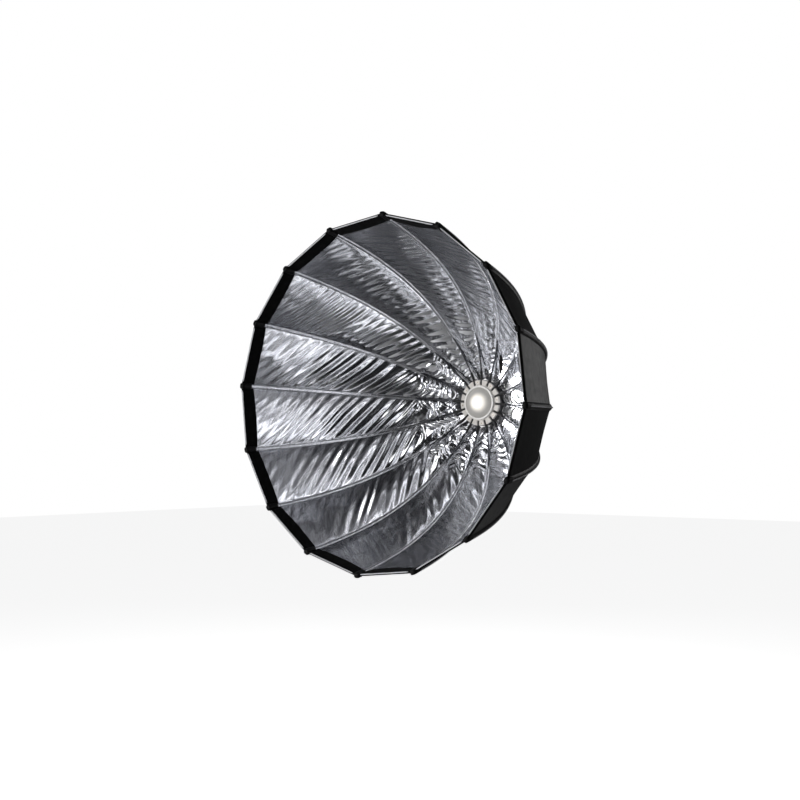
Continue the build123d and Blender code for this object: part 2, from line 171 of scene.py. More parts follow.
def smooth(edge0: float, edge1: float, x: np.ndarray | float) -> np.ndarray:
    """Smooth step from 0 at edge0 to 1 at edge1."""
    t = np.clip((np.asarray(x, float) - edge0) / (edge1 - edge0), 0, 1)
    return t * t * (3 - 2 * t)


def radial(angle: float) -> tuple:
    """Outward direction and the direction of growing angle, at an angle round the lamp axis.

    Args:
        angle: Degrees from +Z towards -X.

    Returns:
        Two unit vectors as arrays.
    """
    t = math.radians(angle)
    return (
        np.array([-math.sin(t), 0.0, math.cos(t)]),
        np.array([-math.cos(t), 0.0, -math.sin(t)]),
    )


def add_node(
    tree: bpy.types.NodeTree,
    kind: str,
    settings: dict | None = None,
    inputs: dict | None = None,
) -> bpy.types.Node:
    """Adds one node, sets its properties and inputs, and links inputs that are sockets.

    Args:
        tree: Node tree that gets the node.
        kind: Blender's node type.
        settings: Property names and values.
        inputs: Input names or numbers, and values or output sockets.

    Returns:
        The new node.
    """
    node = tree.nodes.new(kind)
    for key, value in (settings or {}).items():
        setattr(node, key, value)
    for key, value in (inputs or {}).items():
        if isinstance(value, bpy.types.NodeSocket):
            tree.links.new(value, node.inputs[key])
        else:
            node.inputs[key].default_value = value
    return node


def new_material(name: str) -> tuple:
    """Makes an empty material.

    Args:
        name: Name of the material.

    Returns:
        The material, its node tree and its shader.
    """
    material = bpy.data.materials.new(name)
    material.use_nodes = True
    tree = material.node_tree
    return material, tree, tree.nodes["Principled BSDF"]


def stand(name: str, data: bpy.types.ID) -> bpy.types.Object:
    """Puts mesh, light or camera data into the scene as an object.

    Args:
        name: Name of the object.
        data: Its data.

    Returns:
        The object.
    """
    thing = bpy.data.objects.new(name, data)
    bpy.context.scene.collection.objects.link(thing)
    return thing


# ---------------------------------------------------------------- noise and profiles


class Noise:
    """Smooth seeded noise over a plane, from -1 to 1."""

    def __init__(self, seed: int) -> None:
        """Draws the values at the corners of the cells from a seed."""
        self.grid = np.random.default_rng(seed).uniform(-1, 1, (256, 256))

    def __call__(self, x: np.ndarray | float, y: np.ndarray | float) -> np.ndarray:
        """Value at x, y, both counted in cells.

        Args:
            x: Array of places along the first axis.
            y: Array of places along the second axis.

        Returns:
            Array of values.
        """
        x, y = np.broadcast_arrays(np.asarray(x, float), np.asarray(y, float))
        i, j = np.floor(x).astype(int), np.floor(y).astype(int)
        fx, fy = x - i, y - j
        fx, fy = fx * fx * (3 - 2 * fx), fy * fy * (3 - 2 * fy)
        i0, i1, j0, j1 = i % 256, (i + 1) % 256, j % 256, (j + 1) % 256
        low = self.grid[i0, j0] * (1 - fx) + self.grid[i1, j0] * fx
        high = self.grid[i0, j1] * (1 - fx) + self.grid[i1, j1] * fx
        return low * (1 - fy) + high * fy


class Profile:
    """A curve in a radial plane, walked by its own length from the hub to the rim."""

    def __init__(self, points: np.ndarray) -> None:
        """Measures the curve.

        Args:
            points: Its points, each as radius and y.
        """
        self.points = points
        steps = np.hypot(*np.diff(points, axis=0).T)
        self.lengths = np.concatenate([[0], np.cumsum(steps)])

    @property
    def length(self) -> float:
        """Whole length of the curve."""
        return float(self.lengths[-1])

    def at(self, s: np.ndarray | float) -> tuple:
        """Radius and y at length s."""
        return tuple(np.interp(s, self.lengths, column) for column in self.points.T)

    def inward(self, s: np.ndarray | float) -> tuple:
        """Unit normal into the bag at a place along the curve.

        Args:
            s: Length from the hub.

        Returns:
            Its radius and y parts.
        """
        r0, y0 = self.at(np.clip(np.asarray(s) - 2 * MM, 0, self.length))
        r1, y1 = self.at(np.clip(np.asarray(s) + 2 * MM, 0, self.length))
        size = np.hypot(r1 - r0, y1 - y0)
        return (y1 - y0) / size, -(r1 - r0) / size

    def length_at_radius(self, radius: float) -> float:
        """Length at which the curve reaches a radius."""
        return float(np.interp(radius, self.points[:, 0], self.lengths))


def along(start: tuple, rise: float, distance: float) -> tuple:
    """Point at a distance from start, going outward and towards the rim by rise degrees."""
    turn = math.radians(rise)
    return (start[0] + distance * math.cos(turn), start[1] - distance * math.sin(turn))


def cubic(points: tuple, share: np.ndarray) -> np.ndarray:
    """Points of a cubic curve.

    Args:
        points: Its four control points.
        share: Shares of the way along it.

    Returns:
        Array of points, one for each share.
    """
    p = np.array(points, float)
    t = np.asarray(share, float)[:, None]
    return (1 - t) ** 3 * p[0] + 3 * (1 - t) ** 2 * t * p[1] + 3 * (1 - t) * t**2 * p[2] + t**3 * p[3]


def rod_curve() -> tuple:
    """Curve of a rod, from the end of its straight root to the rim corner.

    Returns:
        Its four control points, each as radius and y.
    """
    pivot = (SIZE.pivot_radius, SIZE.pivot_y)
    root = along(pivot, SIZE.root_rise, SIZE.root_length)
    corner = (SIZE.rim_radius, SIZE.rim_y)
    return (
        root,
        along(root, SIZE.root_rise, SIZE.root_reach),
        along(corner, -90 - SIZE.rim_lean, SIZE.rim_reach),
        corner,
    )


def cloth_profile() -> Profile:
    """The bag's inner face in a rod's plane: bare from the hem, then along the rod to the rim.

    Returns:
        The profile, from the hem to the rim.
    """
    sleeved = cubic(rod_curve(), np.linspace(SIZE.sleeve_start, 1, 500))
    first, second = sleeved[0], sleeved[1]
    hem = (SIZE.hem_apothem / math.cos(SIZE.half), SIZE.hem_y)
    rise = math.degrees(math.atan2(first[1] - second[1], second[0] - first[0]))
    reach = SIZE.hem_reach * math.dist(hem, first)
    bare = (hem, along(hem, SIZE.hem_rise, reach), along(first, rise, -reach), tuple(first))
    return Profile(np.vstack([cubic(bare, np.linspace(0, 1, 120))[:-1], sleeved]))


CLOTH = cloth_profile()
SLEEVE_S = CLOTH.length_at_radius(SIZE.sleeve_radius)


def folded_radius(radius: float, y: float) -> float:
    """Radius that a point of a rod's plane comes to when the box is folded.

    Args:
        radius: Radius of the point in the open box.
        y: Its place along the lamp axis.

    Returns:
        The radius in the folded box.
    """
    turn = math.radians(SIZE.fold)
    out, back = radius - SIZE.pivot_radius, y - SIZE.pivot_y
    return SIZE.pivot_radius + out * math.cos(turn) + back * math.sin(turn)


def keep_at(s: float) -> float:
    """Share of its width that the cloth keeps at length s when the box is folded."""
    radius, y = CLOTH.at(s)
    return float(np.clip(folded_radius(float(radius), float(y)) / radius, 0.05, 1))


# ---------------------------------------------------------------- materials


class Surface(Enum):
    """Which face of a bag piece a material is for."""

    LINING = 0
    OUTSIDE = 1
    LIP = 2


@dataclass(frozen=True)
class Finish:
    """One plain finish: a base colour with fine grain in millimetres.

    Attributes:
        name: Name of the material.
        colour: Hex colour.
        metallic: 0 or 1.
        roughness: Mean roughness.
        grain_mm: Size of the grain.
        bump_mm: Height of the grain.
        ior: Index of refraction.
        coat: Weight of a clear coat.
        sheen: Weight of the cloth sheen.
        spread: How far the roughness strays from its mean.
    """

    name: str
    colour: str
    metallic: float = 0.0
    roughness: float = 0.5
    grain_mm: float = 1.0
    bump_mm: float = 0.02
    ior: float = 1.5
    coat: float = 0.0
    sheen: float = 0.0
    spread: float = 0.07

    def build(self) -> bpy.types.Material:
        """Makes the material, with grain in object coordinates.

        Returns:
            The Blender material.
        """
        material, tree, shader = new_material(self.name)
        shader.inputs["Base Color"].default_value = srgb(self.colour)
        shader.inputs["Metallic"].default_value = self.metallic
        shader.inputs["IOR"].default_value = self.ior
        shader.inputs["Coat Weight"].default_value = self.coat
        shader.inputs["Sheen Weight"].default_value = self.sheen
        place = add_node(tree, "ShaderNodeTexCoord")
        grain = add_node(
            tree,
            "ShaderNodeTexNoise",
            inputs={"Vector": place.outputs["Object"], "Scale": 1000 / self.grain_mm, "Detail": 3.0},
        )
        span = add_node(
            tree,
            "ShaderNodeMapRange",
            inputs={
                "Value": grain.outputs["Fac"],
                "To Min": max(0.03, self.roughness - self.spread),
                "To Max": min(1.0, self.roughness + self.spread),
            },
        )
        bump = add_node(
            tree,
            "ShaderNodeBump",
            inputs={"Height": grain.outputs["Fac"], "Strength": 0.6, "Distance": self.bump_mm * MM},
        )
        tree.links.new(span.outputs["Result"], shader.inputs["Roughness"])
        tree.links.new(bump.outputs["Normal"], shader.inputs["Normal"])
        return material


@dataclass(frozen=True)
class SilverCloth:
    """Polyester with a metal film on it: a bright, slightly blurred mirror broken up by fine crackle, and
    painted crease shade along slanted streaks.

    Attributes:
        name: Name of the material.
        roughness: Mean roughness of the film.
        colour: Hex colour of the film where it lies flat, between the painted shade streaks.
        crease_shade_colour: Hex colour of the painted shade along its streaks, standing in for the shadow
            side of creases.
        streak_mm: Length and width of a streak.
        streak_turn: Angle of the streaks on the cloth, in degrees.
        crackle_mm: Spacing of the crackle, coarser than the real one so that it shows.
        crackle_depth_mm: Depth of the crackle.
        streak_depth_mm: Depth of the streaks.
    """

    name: str
    roughness: float
    colour: str
    crease_shade_colour: str = "c2c3c8"
    streak_mm: tuple = (70.0, 9.0)
    streak_turn: float = 32.0
    crackle_mm: float = 1000 / 210
    crackle_depth_mm: float = 0.12
    streak_depth_mm: float = 0.35

    def build(self) -> bpy.types.Material:
        """Makes the material on the cloth's own map, in metres.

        Returns:
            The Blender material.
        """
        material, tree, shader = new_material(self.name)
        shader.inputs["Metallic"].default_value = 1.0
        place = add_node(tree, "ShaderNodeUVMap", {"uv_map": "cloth"})
        length, width = self.streak_mm
        turned = add_node(
            tree,
            "ShaderNodeMapping",
            {"vector_type": "TEXTURE"},
            {
                "Vector": place.outputs["UV"],
                "Rotation": (0.0, 0.0, math.radians(self.streak_turn)),
                "Scale": (length * MM, width * MM, 1.0),
            },
        )
        streaks = add_node(
            tree,
            "ShaderNodeTexNoise",
            inputs={"Vector": turned.outputs["Vector"], "Scale": 1.0, "Detail": 4.0, "Distortion": 0.6},
        )
        # Painted crease shade: the base colour darkens to crease_shade_colour along the streaks, as the
        # shadow side of creases would.
        painted_crease_shade = add_node(tree, "ShaderNodeValToRGB", inputs={"Fac": streaks.outputs["Fac"]})
        for stop, position, colour in zip(
            painted_crease_shade.color_ramp.elements, (0.38, 0.6), (self.crease_shade_colour, self.colour)
        ):
            stop.position = position
            stop.color = srgb(colour)
        crackle = add_node(
            tree,
            "ShaderNodeTexVoronoi",
            {"feature": "DISTANCE_TO_EDGE"},
            {"Vector": place.outputs["UV"], "Scale": 1000 / self.crackle_mm, "Randomness": 1.0},
        )
        fine = add_node(
            tree,
            "ShaderNodeTexNoise",
            inputs={
                "Vector": place.outputs["UV"],
                "Scale": 2000 / self.crackle_mm,
                "Detail": 5.0,
                "Roughness": 0.6,
            },
        )
        height = add_node(
            tree,
            "ShaderNodeMath",
            {"operation": "MULTIPLY_ADD"},
            {0: crackle.outputs["Distance"], 1: 0.5, 2: fine.outputs["Fac"]},
        )
        crackled = add_node(
            tree,
            "ShaderNodeBump",
            inputs={
                "Height": height.outputs[0],
                "Strength": 0.35,
                "Distance": self.crackle_depth_mm * MM,
            },
        )
        streaked = add_node(
            tree,
            "ShaderNodeBump",
            inputs={
                "Height": streaks.outputs["Fac"],
                "Strength": 0.4,
                "Distance": self.streak_depth_mm * MM,
                "Normal": crackled.outputs["Normal"],
            },
        )
        rough = add_node(
            tree,
            "ShaderNodeMapRange",
            inputs={
                "Value": fine.outputs["Fac"],
                "To Min": self.roughness - 0.04,
                "To Max": self.roughness + 0.1,
            },
        )
        tree.links.new(painted_crease_shade.outputs["Color"], shader.inputs["Base Color"])
        tree.links.new(rough.outputs["Result"], shader.inputs["Roughness"])
        tree.links.new(streaked.outputs["Normal"], shader.inputs["Normal"])
        return material


@dataclass(frozen=True)
class BlackWeave:
    """Woven black cloth: a dull black with threads that catch a little light, and uneven wear.

    Attributes:
        name: Name of the material.
        colour: Hex colour.
        roughness: Mean roughness.
        thread_mm: Spacing of the threads.
        gloss: Specular level.
        thread_depth_mm: Depth between the threads.
    """

    name: str
    colour: str
    roughness: float
    thread_mm: float
    gloss: float
    thread_depth_mm: float = 0.12

    def build(self) -> bpy.types.Material:
        """Makes the material, its threads as crossed waves on the cloth's own map.

        Returns:
            The Blender material.
        """
        material, tree, shader = new_material(self.name)
        shader.inputs["Base Color"].default_value = srgb(self.colour)
        shader.inputs["Specular IOR Level"].default_value = self.gloss
        shader.inputs["IOR"].default_value = 1.45
        place = add_node(tree, "ShaderNodeUVMap", {"uv_map": "cloth"})
        heights = []
        for direction in ("X", "Y"):
            wave = add_node(
                tree,
                "ShaderNodeTexWave",
                {"bands_direction": direction},
                {
                    "Vector": place.outputs["UV"],
                    "Scale": 1000 / self.thread_mm / (2 * math.pi),
                    "Distortion": 0.4,
                },
            )
            heights.append(wave.outputs["Fac"])
        both = add_node(tree, "ShaderNodeMath", {"operation": "ADD"}, {0: heights[0], 1: heights[1]})
        bump = add_node(
            tree,
            "ShaderNodeBump",
            inputs={"Height": both.outputs[0], "Strength": 0.35, "Distance": self.thread_depth_mm * MM},
        )
        wear = add_node(
            tree,
            "ShaderNodeTexNoise",
            inputs={"Vector": place.outputs["UV"], "Scale": 60.0, "Detail": 4.0},
        )
        rough = add_node(
            tree,
            "ShaderNodeMapRange",
            inputs={
                "Value": wear.outputs["Fac"],
                "To Min": self.roughness - 0.1,
                "To Max": self.roughness + 0.1,
            },
        )
        tree.links.new(rough.outputs["Result"], shader.inputs["Roughness"])
        tree.links.new(bump.outputs["Normal"], shader.inputs["Normal"])
        return material


@dataclass(frozen=True)
class DomeGlass:
    """Frosted glass lit from behind: brightest in the middle and greyer towards its edge.

    Attributes:
        name: Name of the material.
        colour: Hex colour of the frosting.
        light: Hex colour of the lamp behind it.
        bright_radius: Radius of the brightest spot.
        dim_radius: Radius at which the glow has faded.
        spot_x: How far the lamp's spot lies off the axis, along X.
        brightest: Strength of the glow in the middle.
        dimmest: Strength of the glow at the edge.
    """

    name: str = "frosted_dome_glass"
    colour: str = "aeaca8"
    light: str = "fffaf0"
    bright_radius: float = 8 * MM
    dim_radius: float = 33 * MM
    spot_x: float = 5 * MM
    brightest: float = 1.1
    dimmest: float = 0.08

    def build(self) -> bpy.types.Material:
        """Makes the material, with its glow by the distance from the spot.

        Returns:
            The Blender material.
        """
        material, tree, shader = new_material(self.name)
        shader.inputs["Base Color"].default_value = srgb(self.colour)
        shader.inputs["Roughness"].default_value = 0.42
        shader.inputs["IOR"].default_value = 1.52
        shader.inputs["Emission Color"].default_value = srgb(self.light)
        place = add_node(tree, "ShaderNodeTexCoord")
        across = add_node(
            tree,
            "ShaderNodeVectorMath",
            {"operation": "MULTIPLY"},
            {0: place.outputs["Object"], 1: (1.0, 0.0, 1.0)},
        )
        radius = add_node(
            tree,
            "ShaderNodeVectorMath",
            {"operation": "DISTANCE"},
            {0: across.outputs["Vector"], 1: (self.spot_x, 0.0, 0.0)},
        )
        glow = add_node(
            tree,
            "ShaderNodeMapRange",
            {"interpolation_type": "SMOOTHSTEP"},
            {
                "Value": radius.outputs["Value"],
                "From Min": self.bright_radius,
                "From Max": self.dim_radius,
                "To Min": self.brightest,
                "To Max": self.dimmest,
            },
        )
        tree.links.new(glow.outputs["Result"], shader.inputs["Emission Strength"])
        return material


# What each finish gives the eye stands beside it.
FINISHES = {
    # Enamel baked on cast alloy: deep black with a soft shine.
    "adapter_body": Finish("black_adapter_enamel", "121214", 0.0, 0.38, 0.8, 0.01, coat=0.3),
    # Turned steel, zinc plated: bright grey with blurred highlights.
    "bayonet_collar": Finish("zinc_plated_steel", "a9abae", 1.0, 0.28, 0.5, 0.006, 2.5),
    # Plated screws: a darker grey than the collar that they hold.
    "collar_screws": Finish("plated_screw_steel", "8b8c90", 1.0, 0.3, 0.4, 0.005, 2.5),
    # Cut nylon: milky and waxy.
    "friction_washer": Finish("natural_nylon", "d8d5c8", 0.0, 0.45, 1.5, 0.01, 1.53),
    # Sprayed enamel: clean white with a clear shine.
    "dome_ring": Finish("white_ring_enamel", "e8e6e2", 0.0, 0.32, 1.0, 0.005, coat=0.4),
    # Anodised and bead-blasted aluminium: pale, warm and satin.
    "hub_front_ring": Finish("warm_anodised_alloy", "cbc7c2", 0.25, 0.45, 0.6, 0.01, 1.45),
    # Powder-coated casting: black with a fine orange peel.
    "hub_back_ring": Finish("black_coated_casting", "161618", 0.0, 0.5, 1.2, 0.03, coat=0.1),
    # Ground steel pins: small sharp highlights.
    "pivot_pins": Finish("ground_pin_steel", "8f9093", 1.0, 0.25, 0.4, 0.004, 2.5),
    # Stainless screws: warm grey, like the ring round them.
    "hub_screws": Finish("hub_screw_steel", "98928a", 1.0, 0.3, 0.4, 0.004, 2.5),
    # Painted spring steel: black with a faint shine.
    "hem_band": Finish("black_band_steel", "0e0e10", 0.0, 0.4, 0.8, 0.01, coat=0.2),
    # Moulded knob: dull black plastic.
    "lock_knob": Finish("black_moulded_knob", "101011", 0.0, 0.48, 0.7, 0.02),
    # Drawn spring steel, blued: dark metal with a long highlight.
    "rod": Finish("blued_spring_steel", "57585c", 1.0, 0.26, 0.8, 0.005, 2.5),
    # Moulded fittings: black plastic a little glossier than the knob.
    "rod_ends": Finish("black_moulded_rod_end", "0c0c0d", 0.0, 0.45, 0.6, 0.01),
    # Corded piping, light grey as a painted highlight along the black tape and binding, with a soft fuzz.
    "piping": Finish("painted_highlight_piping", "dcdde1", 0.0, 0.42, 0.6, 0.03, sheen=0.2),
    # Twisted polyester thread: light grey.
    "thread": Finish("grey_sewing_thread", "cfd0d4", 0.0, 0.5, 0.3, 0.02, sheen=0.1),
    "frosted_dome": DomeGlass(),
}


@dataclass(frozen=True)
class ClothFinishes:
    """The cloths that the bag is sewn from."""

    lining: SilverCloth = SilverCloth("silver_coated_lining", 0.12, "dcdde0")
    tape: SilverCloth = SilverCloth("silver_seam_tape", 0.22, "d4d5d9")
    outside: BlackWeave = BlackWeave("black_woven_nylon", "060607", 0.45, 0.9, 0.35)
    lip: BlackWeave = BlackWeave("black_lip_webbing", "030304", 0.8, 1.6, 0.12)
    pocket: BlackWeave = BlackWeave("black_corner_leatherette", "050506", 0.55, 1.2, 0.2)


class Dressing:
    """Every material of the object, made once and looked up by its piece."""

    def __init__(self) -> None:
        """Makes the materials."""
        cloths = ClothFinishes()
        self.cloth = {each.name: getattr(cloths, each.name).build() for each in fields(cloths)}
        self.plain = {name: finish.build() for name, finish in FINISHES.items()}


# ---------------------------------------------------------------- meshes


def quads(rows: int, columns: int, start: int = 0, flip: bool = False, wrap: bool = False) -> np.ndarray:
    """Faces of a grid of points stored row by row.

    Args:
        rows: Points along the grid.
        columns: Points across the grid.
        start: Number of the first point.
        flip: True to turn the faces over.
        wrap: True to join the last column to the first.

    Returns:
        Array of four point numbers a face.
    """
    i, j = np.meshgrid(np.arange(rows - 1), np.arange(columns if wrap else columns - 1), indexing="ij")
    k = (j + 1) % columns
    faces = np.stack([i * columns + j, i * columns + k, (i + 1) * columns + k, (i + 1) * columns + j], -1)
    faces = faces.reshape(-1, 4) + start
    return faces[:, ::-1] if flip else faces


@dataclass
class Piece:
    """A mesh piece of the bag on its way into the scene.

    Attributes:
        name: Name of the piece.
        points: Its points in the row frame.
        faces: Its faces as arrays of four point numbers.
        uv: Place of each point on the cloth, in metres.
        materials: Materials of its slots.
        slots: Slot of each face, or None.
        normals: Normal of each point, or None.
    """

    name: str
    points: np.ndarray
    faces: np.ndarray
    uv: np.ndarray
    materials: list
    slots: np.ndarray | None = None
    normals: np.ndarray | None = None

    def build(self) -> bpy.types.Object:
        """Makes the object, smooth shaded, with its cloth map.

        Returns:
            The Blender object.
        """
        mesh = bpy.data.meshes.new(self.name)
        mesh.from_pydata(self.points.tolist(), [], self.faces.tolist())
        layer = mesh.uv_layers.new(name="cloth")
        corners = np.zeros(len(mesh.loops), np.int32)
        mesh.loops.foreach_get("vertex_index", corners)
        layer.data.foreach_set("uv", self.uv[corners].astype(np.float32).ravel())
        mesh.polygons.foreach_set("use_smooth", np.ones(len(mesh.polygons), bool))
        for material in self.materials:
            mesh.materials.append(material)
        if self.slots is not None:
            mesh.polygons.foreach_set("material_index", self.slots.astype(np.int32))
        if self.normals is not None:
            mesh.normals_split_custom_set_from_vertices(self.normals.tolist())
        mesh.update()
        return stand(self.name, mesh)


def grid_normals(points: np.ndarray) -> np.ndarray:
    """Unit normals of a grid of points, as the cross product of its two directions.

    Args:
        points: Rows by columns by 3.

    Returns:
        Array of the same shape.
    """
    down = np.gradient(points, axis=0)
    across = np.gradient(points, axis=1)
    normal = np.cross(across, down)
    return normal / np.maximum(np.linalg.norm(normal, axis=-1, keepdims=True), 1e-12)


# ---------------------------------------------------------------- the bag


@dataclass
class PanelGrid:
    """The grid of one whole panel, before it is cut into bands.

    Attributes:
        s: Length of each row from the hem.
        x: Distance of each point from the panel's middle.
        faces: Points of the lining and of the outside.
        normals: Normals of the lining and of the outside.
    """

    s: np.ndarray
    x: np.ndarray
    faces: list
    normals: list


@dataclass
class Panel:
    """One cloth panel between two rods, cut in bands.

    Attributes:
        index: Number of the panel, from 0.
        dressing: The materials.
        fold_height: Height of the long folds.
        crinkle_height: Height of the short crinkles near the hub.
        crinkle_spacing: Distance between two crinkles.
        fine_height: Height of the fine lines along the folds.
        fine_spacing: Distance between two fine lines.
        buckle_height: Height of the broad uneven buckles.
        sag: How far the middle of the cloth stands into the bag.
        least_rise: Height that keeps the deepest crease off the cloth's flat.
        hub_zone: Lengths over which the crinkles give way to the long folds.
        rim_zone: Lengths over which the long folds fade towards the rim.
        slit_length: Length of the slit in one of the panels.
        slit_width: Width of that slit.
        slit_radius: Radius at which it lies.
        slit_turn: Its angle to the panel's middle, in degrees.
    """

    index: int
    dressing: Dressing
    fold_height: float = 3.0 * MM
    crinkle_height: float = 1.7 * MM
    crinkle_spacing: float = 19 * MM
    fine_height: float = 0.035 * MM
    fine_spacing: float = 6.5 * MM
    buckle_height: float = 1.5 * MM
    sag: float = 5 * MM
    least_rise: float = 2.2 * MM
    hub_zone: tuple = (110 * MM, 170 * MM)
    rim_zone: tuple = (330 * MM, 600 * MM)
    slit_length: float = 70 * MM
    slit_width: float = 12 * MM
    slit_radius: float = 140 * MM
    slit_turn: float = 15.0

    def __post_init__(self) -> None:
        """Works out where the panel lies and what it rides on."""
        self.body = f"panel_{self.index + 1:02d}"
        self.joint = f"panel_fold_{self.index + 1:02d}"
        self.turn = SIZE.rib_angle(self.index + 0.5)
        self.outward, self.tangent = radial(self.turn)
        self.noise = Noise(400 + self.index)
        self.anchor = tuple(self.outward * SIZE.pivot_radius)

    def long_folds(self, shifted: np.ndarray, x: np.ndarray, slant: float) -> np.ndarray:
        """Straight folds from seam to seam, crisp on one side, each of its own depth.

        Args:
            shifted: Place across the folds, in metres.
            x: Distance from the panel's middle.
            slant: Slope of the folds.

        Returns:
            Array of heights in metres.
        """
        noise = self.noise
        calm = 0.45 + 0.55 * float(smooth(30, 65, self.turn) * (1 - smooth(140, 170, self.turn)))
        spacing_mm = 26 - 5 * float(1 - smooth(50, 80, self.turn)) + 3 * float(noise(1.7, 8.1))
        spacing = spacing_mm * MM * math.hypot(1, slant)
        phase = shifted / spacing + 0.35 * noise(shifted / (60 * MM) + 31, 0.4)
        number = np.floor(phase + 0.25)
        facet = np.arcsin(0.94 * np.sin(2 * np.pi * phase)) / 1.22
        depth = 0.62 + 0.5 * noise(number * 0.73 + 5.2, 7.7) + 0.3 * noise(number * 0.61 + 80, x / (80 * MM))
        return self.fold_height * calm * facet * np.clip(depth, 0.04, 1.1)

    def fine_lines(self, shifted: np.ndarray, s: np.ndarray, x: np.ndarray) -> np.ndarray:
        """Fine lines along the folds, strong in some places and gone in others.

        Args:
            shifted: Place across the folds, in metres.
            s: Length from the hem.
            x: Distance from the panel's middle.

        Returns:
            Array of heights in metres.
        """
        phase = shifted / self.fine_spacing + 1.1 * self.noise(shifted / (17 * MM) + 3, x / (50 * MM))
        strength = 0.5 + 0.5 * self.noise(s / (70 * MM), x / (40 * MM) + 6)
        return self.fine_height * np.sin(2 * np.pi * phase) * strength

    def crinkles(self, s: np.ndarray, x: np.ndarray) -> np.ndarray:
        """Short crinkles crosswise, where the cloth is gathered at the hub.

        Args:
            s: Length from the hem.
            x: Distance from the panel's middle.

        Returns:
            Array of heights in metres.
        """
        noise = self.noise
        bent = s - 0.35 * np.abs(x) + 4 * MM * noise(s / (16 * MM) + 2, x / (14 * MM))
        phase = bent / self.crinkle_spacing + 0.8 * noise(bent / (26 * MM) + 11, x / (22 * MM))
        facet = np.arcsin(0.93 * np.sin(2 * np.pi * phase)) / 1.2
        calm = 0.3 + 0.7 * float(smooth(20, 45, self.turn) * (1 - smooth(205, 245, self.turn)))
        return self.crinkle_height * facet * calm * smooth(4 * MM, 30 * MM, s)

    def relief(self, s: np.ndarray, x: np.ndarray, v: np.ndarray) -> np.ndarray:
        """Height of the creases into the bag.

        Long straight folds run aslant from seam to seam, deepest halfway between hub and rim. Short crinkles
        stand crosswise near the hub, where the cloth is gathered.

        Args:
            s: Length from the hem.
            x: Distance from the panel's middle, growing with the angle.
            v: The same as a share of the half width.

        Returns:
            Array of heights in metres.
        """
        noise = self.noise
        slant = 0.4 + 0.75 * float(smooth(15, 95, self.turn) * (1 - smooth(200, 260, self.turn)))
        shifted = s - slant * x + 5 * MM * noise(s / (90 * MM), x / (70 * MM) + 9)
        near_hub = 1 - smooth(*self.hub_zone, s)
        near_rim = smooth(*self.rim_zone, s)
        creases = self.long_folds(shifted, x, slant) * (1 - near_hub) * (1 - 0.72 * near_rim)
        creases = creases + self.fine_lines(shifted, s, x)
        creases = creases + self.crinkles(s, x) * near_hub
        creases = creases + self.buckle_height * noise(s / (60 * MM) + 12, x / (48 * MM) + 70)
        creases = creases + self.least_rise * smooth(0, 60 * MM, s)
        across = np.clip(1 - v * v, 0, 1) ** 0.55
        sag = self.sag * smooth(0, 150 * MM, s) * (1 - 0.55 * near_rim)
        return np.maximum(across * creases, -0.2 * MM) + sag * (1 - v * v)

    def surface(self, s: np.ndarray, v: np.ndarray, lift: np.ndarray | float) -> np.ndarray:
        """Points of the panel at lengths s and shares v of its half width.

        Args:
            s: Length from the hem, one a row.
            v: Share of the half width, one a column.
            lift: Height into the bag, an array or a number.

        Returns:
            Array of points, rows by columns by 3.
        """
        radius, y = CLOTH.at(s)
        inward_r, inward_y = CLOTH.inward(s)
        half_width = radius * math.sin(SIZE.half) - GRID.gap
        x = half_width[:, None] * v[None, :]
        r = radius[:, None] * math.cos(SIZE.half) + inward_r[:, None] * lift
        y = y[:, None] + inward_y[:, None] * lift
        points = r[..., None] * self.outward + x[..., None] * self.tangent
        points[..., 1] += y
        return points

    def build(self) -> list:
        """Makes the panel's bands and rides them on the panel's body.

        Returns:
            The band objects.
        """
        rows = int(round(CLOTH.length / GRID.step)) + 1
        s = np.linspace(0, CLOTH.length, rows)
        v = np.linspace(-1, 1, GRID.columns + 1)
        radius, _ = CLOTH.at(s)
        x = (radius * math.sin(SIZE.half) - GRID.gap)[:, None] * v[None, :]
        relief = self.relief(s[:, None] + 0 * x, x, v[None, :] + 0 * x)
        faces = [self.surface(s, v, relief), self.surface(s, v, 0.3 * relief - GRID.thickness)]
        normals = [grid_normals(faces[0]), -grid_normals(faces[1])]
        if (normals[0][rows // 2, GRID.columns // 2] @ self.outward) > 0:
            normals = [-normal for normal in normals]
        whole = PanelGrid(s, x, faces, normals)
        made = [self.band(number, cut, whole) for number, cut in enumerate(self.cuts())]
        if self.index == VENT_PANEL:
            self.vent_slit()
        return made

    def cuts(self) -> list:
        """First and last row of each band, the hem band first.

        Returns:
            A pair of rows for each band.
        """
        rows = int(round(CLOTH.length / GRID.step)) + 1
        first = int(round(GRID.hem_band / GRID.step))
        rest = [int(round(c)) for c in np.linspace(first, rows - 1, GRID.bands)]
        return list(zip([0] + rest[:-1], rest))

    def gather(self, thing: bpy.types.Object, cut: tuple) -> None:
        """Rides a piece on the panel and gives it a mesh of its own.

        Args:
            thing: The piece.
            cut: First and last row of the band.
        """
        step = CLOTH.length / int(round(CLOTH.length / GRID.step))
        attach(thing, self.body)
        keep_at(sum(cut) / 2 * step)
        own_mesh(thing)

